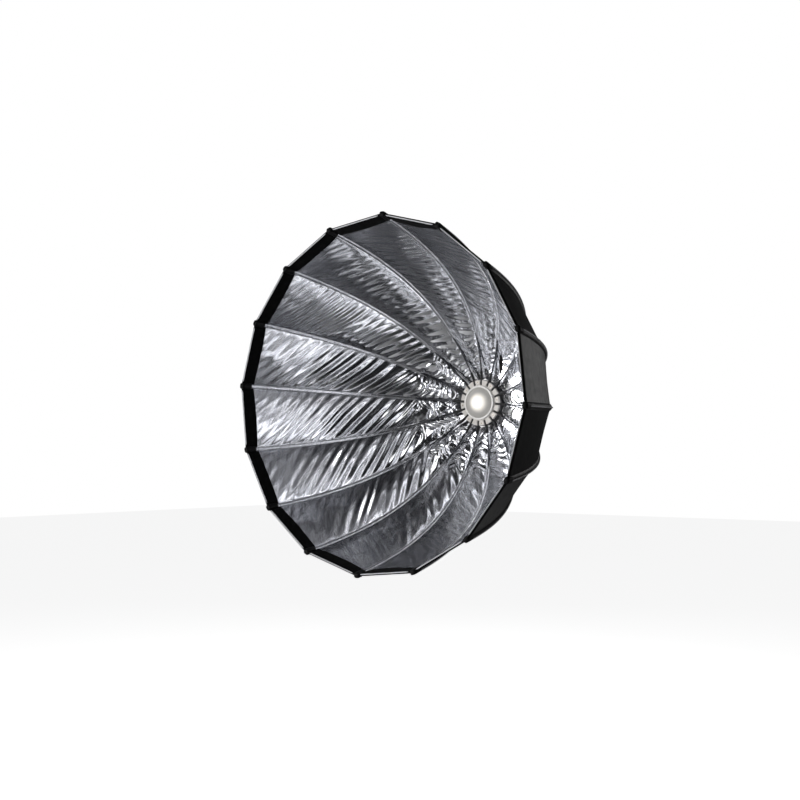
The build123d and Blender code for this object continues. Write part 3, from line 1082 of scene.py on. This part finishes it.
    def vent_slit(self) -> None:
        """Lens-shaped slit with a black facing, near the hub on one upper panel."""
        middle_s, middle_x = CLOTH.length_at_radius(self.slit_radius), 0.3 * MM
        turn = math.radians(self.slit_turn)
        half, rows, columns = self.slit_length / 2, 28, 9
        a, share = np.meshgrid(np.linspace(-half, half, rows), np.linspace(-1, 1, columns), indexing="ij")
        b = share * (self.slit_width / 2 * (1 - (a / half) ** 2) + 0.2 * MM)
        s = middle_s + a * math.cos(turn) - b * math.sin(turn)
        x = middle_x + a * math.sin(turn) + b * math.cos(turn)
        radius, y = CLOTH.at(s)
        inward_r, inward_y = CLOTH.inward(s)
        lift = self.relief(s, x, x / (radius * math.sin(SIZE.half)))
        lift = lift + 1.5 * MM - 0.5 * MM * np.cos(share * math.pi / 2)
        r = radius * math.cos(SIZE.half) + inward_r * lift
        points = r[..., None] * self.outward + x[..., None] * self.tangent
        points[..., 1] += y + inward_y * lift
        thing = Piece(
            f"vent_slit_{self.index + 1:02d}",
            points.reshape(-1, 3),
            quads(rows, columns, flip=True),
            np.stack([x, s], -1).reshape(-1, 2),
            [self.dressing.cloth["lip"]],
        ).build()
        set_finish(thing, "bag_cloth")
        step = CLOTH.length / int(round(CLOTH.length / GRID.step))
        self.gather(thing, next(cut for cut in self.cuts() if cut[0] <= middle_s / step <= cut[1]))

    def band(self, number: int, cut: tuple, whole: PanelGrid) -> bpy.types.Object:
        """Makes one band of the panel as a closed shell of cloth.

        Args:
            number: Number of the band from the hem.
            cut: Its first and last row on the panel's grid.
            whole: The panel's grid.

        Returns:
            The Blender object.
        """
        low, high = cut
        rows, columns = high - low + 1, GRID.columns + 1
        count = rows * columns
        part = slice(low, high + 1)
        s, x = whole.s[part], whole.x[part]
        uv = np.stack([x + 0.37 * self.index, s[:, None] + 0 * x], -1).reshape(-1, 2)
        border = np.concatenate(
            [
                np.arange(columns),
                np.arange(1, rows) * columns + columns - 1,
                (rows - 1) * columns + np.arange(columns - 2, -1, -1),
                np.arange(rows - 2, -1, -1) * columns,
            ]
        )
        a, b = border[:-1], border[1:]
        inside = quads(rows, columns, flip=True)
        outside = quads(rows, columns, start=count)
        walls = np.stack([a, b, b + count, a + count], -1)
        lip_row = int(np.searchsorted(whole.s, CLOTH.length - SIZE.lip))
        face_row = np.repeat(np.arange(low, high), columns - 1)
        lining_slot = np.where(face_row >= lip_row, Surface.LIP.value, Surface.LINING.value)
        outside_slot = np.full(len(outside) + len(walls), Surface.OUTSIDE.value)
        thing = Piece(
            f"cloth_{self.index + 1:02d}_{number + 1}",
            np.vstack([face[part].reshape(-1, 3) for face in whole.faces]),
            np.vstack([inside, outside, walls]),
            np.vstack([uv, uv]),
            [self.dressing.cloth[surface.name.lower()] for surface in Surface],
            np.concatenate([lining_slot, outside_slot]),
            np.vstack([normal[part].reshape(-1, 3) for normal in whole.normals]),
        ).build()
        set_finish(thing, "bag_cloth")
        if number == 0:
            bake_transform(thing)
        else:
            self.gather(thing, cut)
        return thing


@dataclass
class Strip:
    """A tape sewn along a rod's plane, inside or outside the bag, riding on the rod.

    Attributes:
        index: Number of the rod.
        name: First part of the piece's name.
        material: Material of the tape.
        start: Length at which it begins.
        stop: Length at which it ends.
        half_width: Half of its width.
        inside: True inside the bag.
        pucker: Depth of the puckers along its stitches.
    """

    index: int
    name: str
    material: bpy.types.Material
    start: float
    stop: float
    half_width: float
    inside: bool
    pucker: float = 0.0

    def points(self, s: np.ndarray, x: np.ndarray, lift: np.ndarray) -> np.ndarray:
        """Places on the seam between two panels.

        Args:
            s: Lengths from the hem.
            x: Distances from the rod's plane.
            lift: Heights off the panels' flats, into the bag.

        Returns:
            Array of points.
        """
        outward, tangent = radial(SIZE.rib_angle(self.index))
        radius, y = CLOTH.at(s)
        inward_r, inward_y = CLOTH.inward(s)
        r = radius - np.abs(x) * math.sin(SIZE.half) + inward_r * lift
        place = r[..., None] * outward + (x * math.cos(SIZE.half))[..., None] * tangent
        place[..., 1] += y + inward_y * lift
        return place

    def height(self, s: np.ndarray, share: np.ndarray) -> np.ndarray:
        """Height of the tape off the cloth, arched where a rod lies under it.

        Args:
            s: Lengths from the hem.
            share: Shares of the tape's half width.

        Returns:
            Array of heights into the bag.
        """
        sleeve = smooth(SLEEVE_S - 14 * MM, SLEEVE_S + 4 * MM, s)
        arch = np.clip(1 - np.abs(share) ** 2.2, 0, 1)
        if self.inside:
            return 0.6 * MM + arch * (0.4 * MM + 2.0 * MM * sleeve)
        return -(GRID.thickness + 0.4 * MM + arch * (0.8 * MM + 2.9 * MM * sleeve))

    def build(self) -> bpy.types.Object:
        """Makes the tape.

        Returns:
            The Blender object.
        """
        rows, columns = int((self.stop - self.start) / GRID.step) + 1, 11
        lengths, shares = np.linspace(self.start, self.stop, rows), np.linspace(-1, 1, columns)
        s, share = np.meshgrid(lengths, shares, indexing="ij")
        x = share * self.half_width
        lift = self.height(s, share)
        if self.pucker:
            noise = Noise(900 + self.index)
            puckers = noise(s / (3.6 * MM), x / (5 * MM) + 5)
            lift = lift + self.pucker * puckers * (0.35 + 0.65 * np.abs(share))
        points = self.points(s, x, lift)
        thing = Piece(
            f"{self.name}_{self.index + 1:02d}",
            points.reshape(-1, 3),
            quads(rows, columns, flip=self.inside),
            np.stack([x + 0.1, s], -1).reshape(-1, 2),
            [self.material],
        ).build()
        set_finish(thing, "bag_cloth")
        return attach(thing, f"rib_{self.index + 1:02d}")


def tube(
    name: str, path: np.ndarray, radius: float, material: bpy.types.Material, sides: int = 8
) -> bpy.types.Object:
    """A round cord along a path, closed at both ends.

    Args:
        name: Name of the piece.
        path: Its middle line.
        radius: Its radius.
        material: Its material.
        sides: Sides of its section.

    Returns:
        The Blender object.
    """
    ahead = np.gradient(path, axis=0)
    ahead /= np.linalg.norm(ahead, axis=1, keepdims=True)
    side = np.cross(ahead, [0.0, 1.0, 0.0])
    flat = np.linalg.norm(side, axis=1, keepdims=True) < 1e-6
    side = np.where(flat, np.cross(ahead, [1.0, 0.0, 0.0]), side)
    side /= np.linalg.norm(side, axis=1, keepdims=True)
    up = np.cross(side, ahead)
    turn = np.linspace(0, 2 * np.pi, sides, endpoint=False)
    ring = np.cos(turn)[None, :, None] * side[:, None, :] + np.sin(turn)[None, :, None] * up[:, None, :]
    size = np.full(len(path), radius)
    size[[0, -1]] = radius * 0.35
    points = path[:, None, :] + ring * size[:, None, None]
    s = np.concatenate([[0], np.cumsum(np.linalg.norm(np.diff(path, axis=0), axis=1))])
    uv = np.stack(np.broadcast_arrays(turn[None, :] * radius, s[:, None]), -1).reshape(-1, 2)
    faces = quads(len(path), sides, wrap=True)
    return Piece(name, points.reshape(-1, 3), faces, uv, [material]).build()


@dataclass
class StitchRows:
    """Rows of stitches along a rod's seam, repeated by geometry nodes and kept as one mesh.

    Attributes:
        material: Material of the thread.
        length: Length of a stitch.
        thickness: Thickness of a stitch, coarser than a real thread's so that it shows.
    """

    material: bpy.types.Material
    length: float = 2.8 * MM
    thickness: float = 0.95 * MM

    def __post_init__(self) -> None:
        """Makes the node group that every seam shares."""
        self.group = self.make_group()

    def make_group(self) -> bpy.types.NodeTree:
        """Node group that puts one stitch at each point, turned along the seam.

        Returns:
            The node group.
        """
        tree = bpy.data.node_groups.new("stitch_rows", "GeometryNodeTree")
        tree.interface.new_socket("Geometry", in_out="INPUT", socket_type="NodeSocketGeometry")
        for name, value in (("Stitch Length", self.length), ("Stitch Thickness", self.thickness)):
            socket = tree.interface.new_socket(name, in_out="INPUT", socket_type="NodeSocketFloat")
            socket.default_value = value
        tree.interface.new_socket("Geometry", in_out="OUTPUT", socket_type="NodeSocketGeometry")
        entry = add_node(tree, "NodeGroupInput")
        heading = add_node(
            tree,
            "GeometryNodeInputNamedAttribute",
            {"data_type": "FLOAT_VECTOR"},
            {"Name": "heading"},
        )
        turn = add_node(
            tree,
            "FunctionNodeAlignRotationToVector",
            {"axis": "Z"},
            {"Vector": heading.outputs["Attribute"]},
        )
        ball = add_node(tree, "GeometryNodeMeshUVSphere", inputs={"Segments": 6, "Rings": 4, "Radius": 0.5})
        size = add_node(
            tree,
            "ShaderNodeCombineXYZ",
            inputs={
                "X": entry.outputs["Stitch Thickness"],
                "Y": entry.outputs["Stitch Thickness"],
                "Z": entry.outputs["Stitch Length"],
            },
        )
        repeat = add_node(
            tree,
            "GeometryNodeInstanceOnPoints",
            inputs={
                "Points": entry.outputs["Geometry"],
                "Instance": ball.outputs["Mesh"],
                "Rotation": turn.outputs["Rotation"],
                "Scale": size.outputs["Vector"],
            },
        )
        real = add_node(tree, "GeometryNodeRealizeInstances", inputs={0: repeat.outputs["Instances"]})
        finish = add_node(
            tree,
            "GeometryNodeSetMaterial",
            inputs={"Geometry": real.outputs["Geometry"], "Material": self.material},
        )
        add_node(tree, "NodeGroupOutput", inputs={"Geometry": finish.outputs["Geometry"]})
        return tree

    def build(self, name: str, points: np.ndarray, headings: np.ndarray) -> bpy.types.Object:
        """Makes the stitches as one plain mesh.

        Args:
            name: Name of the piece.
            points: Middle of each stitch.
            headings: Direction of each stitch.

        Returns:
            The Blender object.
        """
        seeds = bpy.data.meshes.new(name + "_seeds")
        seeds.from_pydata(points.tolist(), [], [])
        attribute = seeds.attributes.new("heading", "FLOAT_VECTOR", "POINT")
        attribute.data.foreach_set("vector", headings.astype(np.float32).ravel())
        holder = stand(name + "_seeds", seeds)
        modifier = holder.modifiers.new("stitches", "NODES")
        modifier.node_group = self.group
        bpy.context.view_layer.update()
        shown = holder.evaluated_get(bpy.context.evaluated_depsgraph_get())
        mesh = bpy.data.meshes.new_from_object(shown)
        mesh.name = name
        mesh.polygons.foreach_set("use_smooth", np.ones(len(mesh.polygons), bool))
        bpy.data.objects.remove(holder)
        return stand(name, mesh)


@dataclass
class Rib:
    """What is sewn along one rod: sleeve, outer tape, piping, stitches and corner pocket.

    Attributes:
        index: Number of the rod, from 0.
        dressing: The materials.
        stitches: Maker of the stitches.
        sleeve_half: Half of the sleeve's width.
        seam_half: Half of the seam strip's width.
        tape_half: Half of the outer tape's width.
        overlap: How far the sleeve begins before the rod runs into it.
        piping_radius: Radius of the piping.
        stitch_pitch: Distance between two stitches.
        pocket_width: Half of the pocket's width.
        pocket_depth: Half of the pocket's depth.
        pocket_reach: Half of the pocket's length.
        pocket_back: How far its middle lies behind the rim's corner.
    """

    index: int
    dressing: Dressing
    stitches: StitchRows
    sleeve_half: float = 5.5 * MM
    seam_half: float = 5.1 * MM
    tape_half: float = 9 * MM
    overlap: float = 14 * MM
    piping_radius: float = 1.7 * MM
    stitch_pitch: float = 4.4 * MM
    pocket_width: float = 8.2 * MM
    pocket_depth: float = 7.0 * MM
    pocket_reach: float = 16 * MM
    pocket_back: float = 13 * MM

    def __post_init__(self) -> None:
        """Names the body that the pieces ride on."""
        self.body = f"rib_{self.index + 1:02d}"

    def build(self) -> None:
        """Makes all of the rib's sewn pieces."""
        cloth, length = self.dressing.cloth, CLOTH.length
        begin, end = SLEEVE_S - self.overlap, length - 4 * MM
        sleeve = Strip(self.index, "sleeve", cloth["tape"], begin, end, self.sleeve_half, True, 0.7 * MM)
        sleeve.build()
        begin, end = 2 * MM, SLEEVE_S - self.overlap + 2 * MM
        Strip(self.index, "seam", cloth["tape"], begin, end, self.seam_half, True, 0.5 * MM).build()
        begin, end = 2 * MM, length - 2 * MM
        tape = Strip(self.index, "rib_tape", cloth["outside"], begin, end, self.tape_half, False)
        tape.build()
        self.outer_piping(tape)
        self.stitching(sleeve)
        self.pocket()

    def settle(self, thing: bpy.types.Object) -> None:
        """Rides a piece on the rod as part of the bag."""
        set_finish(thing, "bag_cloth")
        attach(thing, self.body)

    def outer_piping(self, tape: Strip) -> None:
        """Piping along the outside of the rod, from near the hub to the pocket, light grey as a painted
        highlight.

        Args:
            tape: The outer tape that it lies on.
        """
        s = np.linspace(30 * MM, CLOTH.length - 20 * MM, 130)
        middle = np.zeros_like(s)
        path = tape.points(s, middle, tape.height(s, middle) - 0.7 * MM)
        name = f"rib_piping_{self.index + 1:02d}"
        self.settle(tube(name, path, self.piping_radius, self.dressing.plain["piping"]))

    def stitching(self, sleeve: Strip) -> None:
        """Two rows of stitches along the sleeve.

        Args:
            sleeve: The sleeve that they hold.
        """
        steps = np.arange(sleeve.start + 4 * MM, sleeve.stop - SIZE.lip, self.stitch_pitch)
        rows, headings = [], []
        for side in (-1, 1):
            share = np.full_like(steps, 0.8 * side)
            place = sleeve.points(steps, share * sleeve.half_width, sleeve.height(steps, share) + 0.25 * MM)
            rows.append(place)
            headings.append(np.gradient(place, axis=0))
        name = f"sleeve_stitches_{self.index + 1:02d}"
        self.settle(self.stitches.build(name, np.vstack(rows), np.vstack(headings)))

    def pocket(self) -> None:
        """Padded corner pocket round the rod's tip."""
        outward, tangent = radial(SIZE.rib_angle(self.index))
        inward_r, inward_y = CLOTH.inward(CLOTH.length - 4 * MM)
        inward = float(inward_r) * outward + np.array([0.0, float(inward_y), 0.0])
        ahead = np.cross(tangent, inward)
        if ahead[1] > 0:
            ahead = -ahead
        corner = SIZE.rim_radius * outward + np.array([0.0, SIZE.rim_y, 0.0])
        rings, turns = 15, 24
        t = np.linspace(-1, 1, rings)
        turn = np.linspace(0, 2 * np.pi, turns, endpoint=False)
        reach = -self.pocket_back + self.pocket_reach * np.sin(t * np.pi / 2)
        swell = (1 - np.abs(t) ** 5) ** (1 / 3)
        swell[[0, -1]] = 0.02
        c, d = np.cos(turn), np.sin(turn)
        across = np.sign(c) * np.abs(c) ** 0.62 * self.pocket_width
        through = np.sign(d) * np.abs(d) ** 0.62 * self.pocket_depth
        points = (
            corner
            + reach[:, None, None] * ahead
            + (swell[:, None] * across[None, :])[..., None] * tangent
            + (swell[:, None] * through[None, :])[..., None] * inward
        )
        uv = np.stack(np.broadcast_arrays(turn[None, :] * 8 * MM, reach[:, None]), -1).reshape(-1, 2)
        thing = Piece(
            f"corner_pocket_{self.index + 1:02d}",
            points.reshape(-1, 3),
            quads(rings, turns, wrap=True),
            uv,
            [self.dressing.cloth["pocket"]],
        ).build()
        self.settle(thing)


# Folded tape round the cloth's edge, in millimetres: lift into the bag, and reach ahead of the edge.
BINDING_SECTION = (
    (1.6, -11.0),
    (2.2, -6.0),
    (2.0, -1.0),
    (1.0, 0.8),
    (-0.6, 1.2),
    (-2.0, 0.8),
    (-2.9, -1.0),
    (-3.0, -6.0),
    (-2.4, -11.0),
    (-1.2, -11.0),
    (-1.1, -1.0),
    (0.2, -1.0),
    (0.4, -11.0),
)


@dataclass
class Rim:
    """The bound edge of one panel: folded tape and piping, light grey as a painted highlight, from pocket to
    pocket.

    Attributes:
        index: Number of the panel, from 0.
        dressing: The materials.
        end_gap: How far the tape stops short of the rod's plane.
        piping_lift: Place of the piping, into the bag.
        piping_ahead: Place of the piping ahead of the cloth's edge.
        piping_radius: Radius of the piping.
    """

    index: int
    dressing: Dressing
    end_gap: float = 5 * MM
    piping_lift: float = 1.9 * MM
    piping_ahead: float = 0.6 * MM
    piping_radius: float = 1.5 * MM

    def __post_init__(self) -> None:
        """Works out where the edge lies and what it rides on."""
        self.outward, self.tangent = radial(SIZE.rib_angle(self.index + 0.5))
        self.body = f"panel_{self.index + 1:02d}"
        self.joint = f"panel_fold_{self.index + 1:02d}"

    def place(self, x: np.ndarray, lift: np.ndarray | float, ahead: np.ndarray | float) -> np.ndarray:
        """Points at the rim.

        Args:
            x: Distance across from the panel's middle.
            lift: Height into the bag.
            ahead: Distance beyond the cloth's edge.

        Returns:
            Array of points.
        """
        inward_r, inward_y = (float(c) for c in CLOTH.inward(CLOTH.length - 3 * MM))
        apothem = SIZE.rim_radius * math.cos(SIZE.half)
        r = apothem + inward_r * lift - inward_y * ahead
        y = SIZE.rim_y + inward_y * lift + inward_r * ahead
        point = np.asarray(r)[..., None] * self.outward + np.asarray(x)[..., None] * self.tangent
        point[..., 1] += y
        return point

    def settle(self, thing: bpy.types.Object) -> None:
        """Rides a rim piece on the panel and gives it a mesh of its own.

        Args:
            thing: The piece.
        """
        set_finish(thing, "bag_cloth")
        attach(thing, self.body)
        keep_at(CLOTH.length)
        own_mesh(thing)

    def build(self) -> None:
        """Makes the binding and the piping."""
        half = SIZE.rim_radius * math.sin(SIZE.half) - self.end_gap
        x = np.linspace(-half, half, 30)
        section = np.array(BINDING_SECTION)
        xx, lift = np.meshgrid(x, section[:, 0] * MM, indexing="ij")
        _, ahead = np.meshgrid(x, section[:, 1] * MM, indexing="ij")
        run = np.concatenate([[0], np.cumsum(np.hypot(*np.diff(section, axis=0).T))]) * MM
        uv = np.stack(np.broadcast_arrays(x[:, None], run[None, :]), -1).reshape(-1, 2)
        binding = Piece(
            f"rim_binding_{self.index + 1:02d}",
            self.place(xx, lift, ahead).reshape(-1, 3),
            quads(len(x), len(section), wrap=True),
            uv,
            [self.dressing.cloth["lip"]],
        ).build()
        self.settle(binding)
        path = self.place(x[1:-1] * 0.97, self.piping_lift, self.piping_ahead)
        name = f"rim_piping_{self.index + 1:02d}"
        self.settle(tube(name, path, self.piping_radius, self.dressing.plain["piping"]))


# ---------------------------------------------------------------- stage


@dataclass(frozen=True)
class Softlight:
    """A soft square light that faces the box and isn't seen itself.

    Attributes:
        name: Name of the light.
        azimuth: Degrees from the front of the box towards +X.
        elevation: Degrees above the lamp axis.
        distance: Distance from the middle of the box.
        size: Width of the light.
        power: Power in watts.
    """

    name: str
    azimuth: float
    elevation: float
    distance: float
    size: float
    power: float

    def build(self) -> None:
        """Makes the light."""
        data = bpy.data.lights.new(self.name, "AREA")
        data.size = self.size
        data.energy = self.power
        away = Vector(bearing(self.azimuth, self.elevation))
        lamp = stand(self.name, data)
        lamp.location = Vector((0, -0.3, 0)) + away * self.distance
        lamp.rotation_euler = away.to_track_quat("Z", "Y").to_euler()
        lamp.visible_camera = False


LIGHTS = (
    Softlight("key_light", -15, 0, 2.8, 0.9, 17),
    Softlight("left_light", -42, 3, 2.8, 0.9, 17),
    Softlight("low_left_light", -35, -18, 2.6, 0.9, 10),
    Softlight("top_light", 5, 35, 2.8, 0.9, 9),
    Softlight("back_light", 168, 9, 3.0, 0.8, 4),
    Softlight("rear_fill", 215, 38, 3.0, 1.6, 22),
)


def bearing(azimuth: float, elevation: float) -> tuple:
    """Direction in which something stands, seen from the box.

    Args:
        azimuth: Degrees from the front of the box towards +X.
        elevation: Degrees above the lamp axis.

    Returns:
        The unit vector's three parts.
    """
    a, e = math.radians(azimuth), math.radians(elevation)
    return (math.sin(a) * math.cos(e), -math.cos(a) * math.cos(e), math.sin(e))


@dataclass(frozen=True)
class Studio:
    """Pale floor, soft lights and the camera.

    Attributes:
        floor_z: Height of the floor, where a stand of usual height would put it.
        floor_size: Width of the floor.
        floor_glow: How much the floor is lightened for the eye alone.
        surroundings: Strength of the light that comes from all round.
        glow_power: Power of the lamp's own light, in watts.
        glow_radius: Radius of the lamp's glass.
        glow_y: Place of the lamp's light, just ahead of the dome.
        lens: Focal length of the camera, in millimetres.
        azimuth: Where the camera stands, in degrees from the front towards +X.
        elevation: How far it stands above the lamp axis, in degrees.
        distance: Its distance from the middle of the rim.
        pan: How far it is turned aside, in degrees.
        tilt: How far it is tilted, in degrees.
        roll: How far it is rolled, in degrees.
    """

    floor_z: float = -1.15
    floor_size: float = 30.0
    floor_glow: float = 0.9
    surroundings: float = 0.03
    glow_power: float = 1.1
    glow_radius: float = 34 * MM
    glow_y: float = -62 * MM
    lens: float = 49.57
    azimuth: float = 39.11
    elevation: float = -3.32
    distance: float = 2.7355
    pan: float = -1.595
    tilt: float = -0.273
    roll: float = 0.085

    def build(self) -> None:
        """Makes the stage."""
        self.world()
        self.floor()
        for light in LIGHTS:
            light.build()
        self.lamp_glow()
        self.camera()
        bpy.context.scene.view_settings.view_transform = "Standard"

    def world(self) -> None:
        """Pale surroundings: plain white to the eye, and a faint even light on the box."""
        world = bpy.data.worlds.new("studio")
        bpy.context.scene.world = world
        world.use_nodes = True
        tree = world.node_tree
        tree.nodes.clear()
        path = add_node(tree, "ShaderNodeLightPath")
        around = add_node(
            tree,
            "ShaderNodeBackground",
            inputs={"Color": srgb("d0d2d6"), "Strength": self.surroundings},
        )
        seen = add_node(tree, "ShaderNodeBackground", inputs={"Color": (1, 1, 1, 1), "Strength": 1.0})
        mixed = add_node(
            tree,
            "ShaderNodeMixShader",
            inputs={0: path.outputs["Is Camera Ray"], 1: around.outputs[0], 2: seen.outputs[0]},
        )
        add_node(tree, "ShaderNodeOutputWorld", inputs={"Surface": mixed.outputs[0]})

    def floor(self) -> None:
        """A plain pale floor below the box, where its stand would be."""
        bpy.ops.mesh.primitive_plane_add(size=self.floor_size, location=(0, 0, self.floor_z))
        plane = bpy.context.object
        plane.name = "floor"
        material, tree, shader = new_material("pale_floor")
        shader.inputs["Base Color"].default_value = srgb("ececec")
        shader.inputs["Roughness"].default_value = 0.9
        shader.inputs["Emission Color"].default_value = (1, 1, 1, 1)
        path = add_node(tree, "ShaderNodeLightPath")
        glow = add_node(
            tree,
            "ShaderNodeMath",
            {"operation": "MULTIPLY"},
            {0: path.outputs["Is Camera Ray"], 1: self.floor_glow},
        )
        tree.links.new(glow.outputs[0], shader.inputs["Emission Strength"])
        plane.data.materials.append(material)
        plane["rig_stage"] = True

    def lamp_glow(self) -> None:
        """The lamp's own light on the cloth round the hub."""
        data = bpy.data.lights.new("lamp_glow", "POINT")
        data.shadow_soft_size = self.glow_radius
        data.energy = self.glow_power
        lamp = stand("lamp_glow", data)
        lamp.location = (0, self.glow_y, 0)
        lamp.visible_camera = False
        lit = bpy.data.collections.new("lit_by_lamp")
        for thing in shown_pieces():
            if thing.get("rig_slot") == "bag_cloth":
                lit.objects.link(thing)
        lamp.light_linking.receiver_collection = lit
        lamp.light_linking.blocker_collection = lit

    def camera(self) -> None:
        """The camera, from the open side and a little below the lamp axis."""
        data = bpy.data.cameras.new("camera")
        data.lens = self.lens
        data.sensor_width = 36
        data.clip_end = 100
        camera = stand("camera", data)
        back = Vector(bearing(self.azimuth, self.elevation))
        camera.location = Vector((0, SIZE.rim_y, 0)) + back * self.distance
        look = (-back).to_track_quat("-Z", "Y").to_matrix().to_4x4()
        for angle, axis in ((self.pan, "Y"), (self.tilt, "X"), (self.roll, "Z")):
            look = look @ Matrix.Rotation(math.radians(angle), 4, axis)
        camera.rotation_euler = look.to_euler()
        bpy.context.scene.camera = camera


# ---------------------------------------------------------------- the whole object


class Softbox:
    """The whole object: finished CAD pieces and the cloth over them."""

    def __init__(self) -> None:
        """Makes the materials."""
        self.dressing = Dressing()

    def finish_cad(self) -> None:
        """Gives each CAD node its own material."""
        for name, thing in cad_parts.items():
            start = name.rstrip("0123456789").rstrip("_")
            if start in self.dressing.plain:
                thing.data.materials.clear()
                thing.data.materials.append(self.dressing.plain[start])

    def build(self) -> None:
        """Makes every piece of the object."""
        self.finish_cad()
        stitches = StitchRows(self.dressing.plain["thread"])
        for index in range(SIZE.ribs):
            bands = Panel(index, self.dressing).build()
            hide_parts(f"bag_panel_{index + 1:02d}")
            Rib(index, self.dressing, stitches).build()
            Rim(index, self.dressing).build()


def main() -> None:
    """Builds the softbox and its stage, and reports each piece."""
    logging.basicConfig(level=logging.INFO, format="%(name)s: %(message)s")
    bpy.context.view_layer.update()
    Softbox().build()
    Studio().build()
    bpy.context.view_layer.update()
    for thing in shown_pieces():
        LOG.info("%s: %d faces", thing.name, len(thing.data.polygons))


if __name__ == "__main__":
    main()
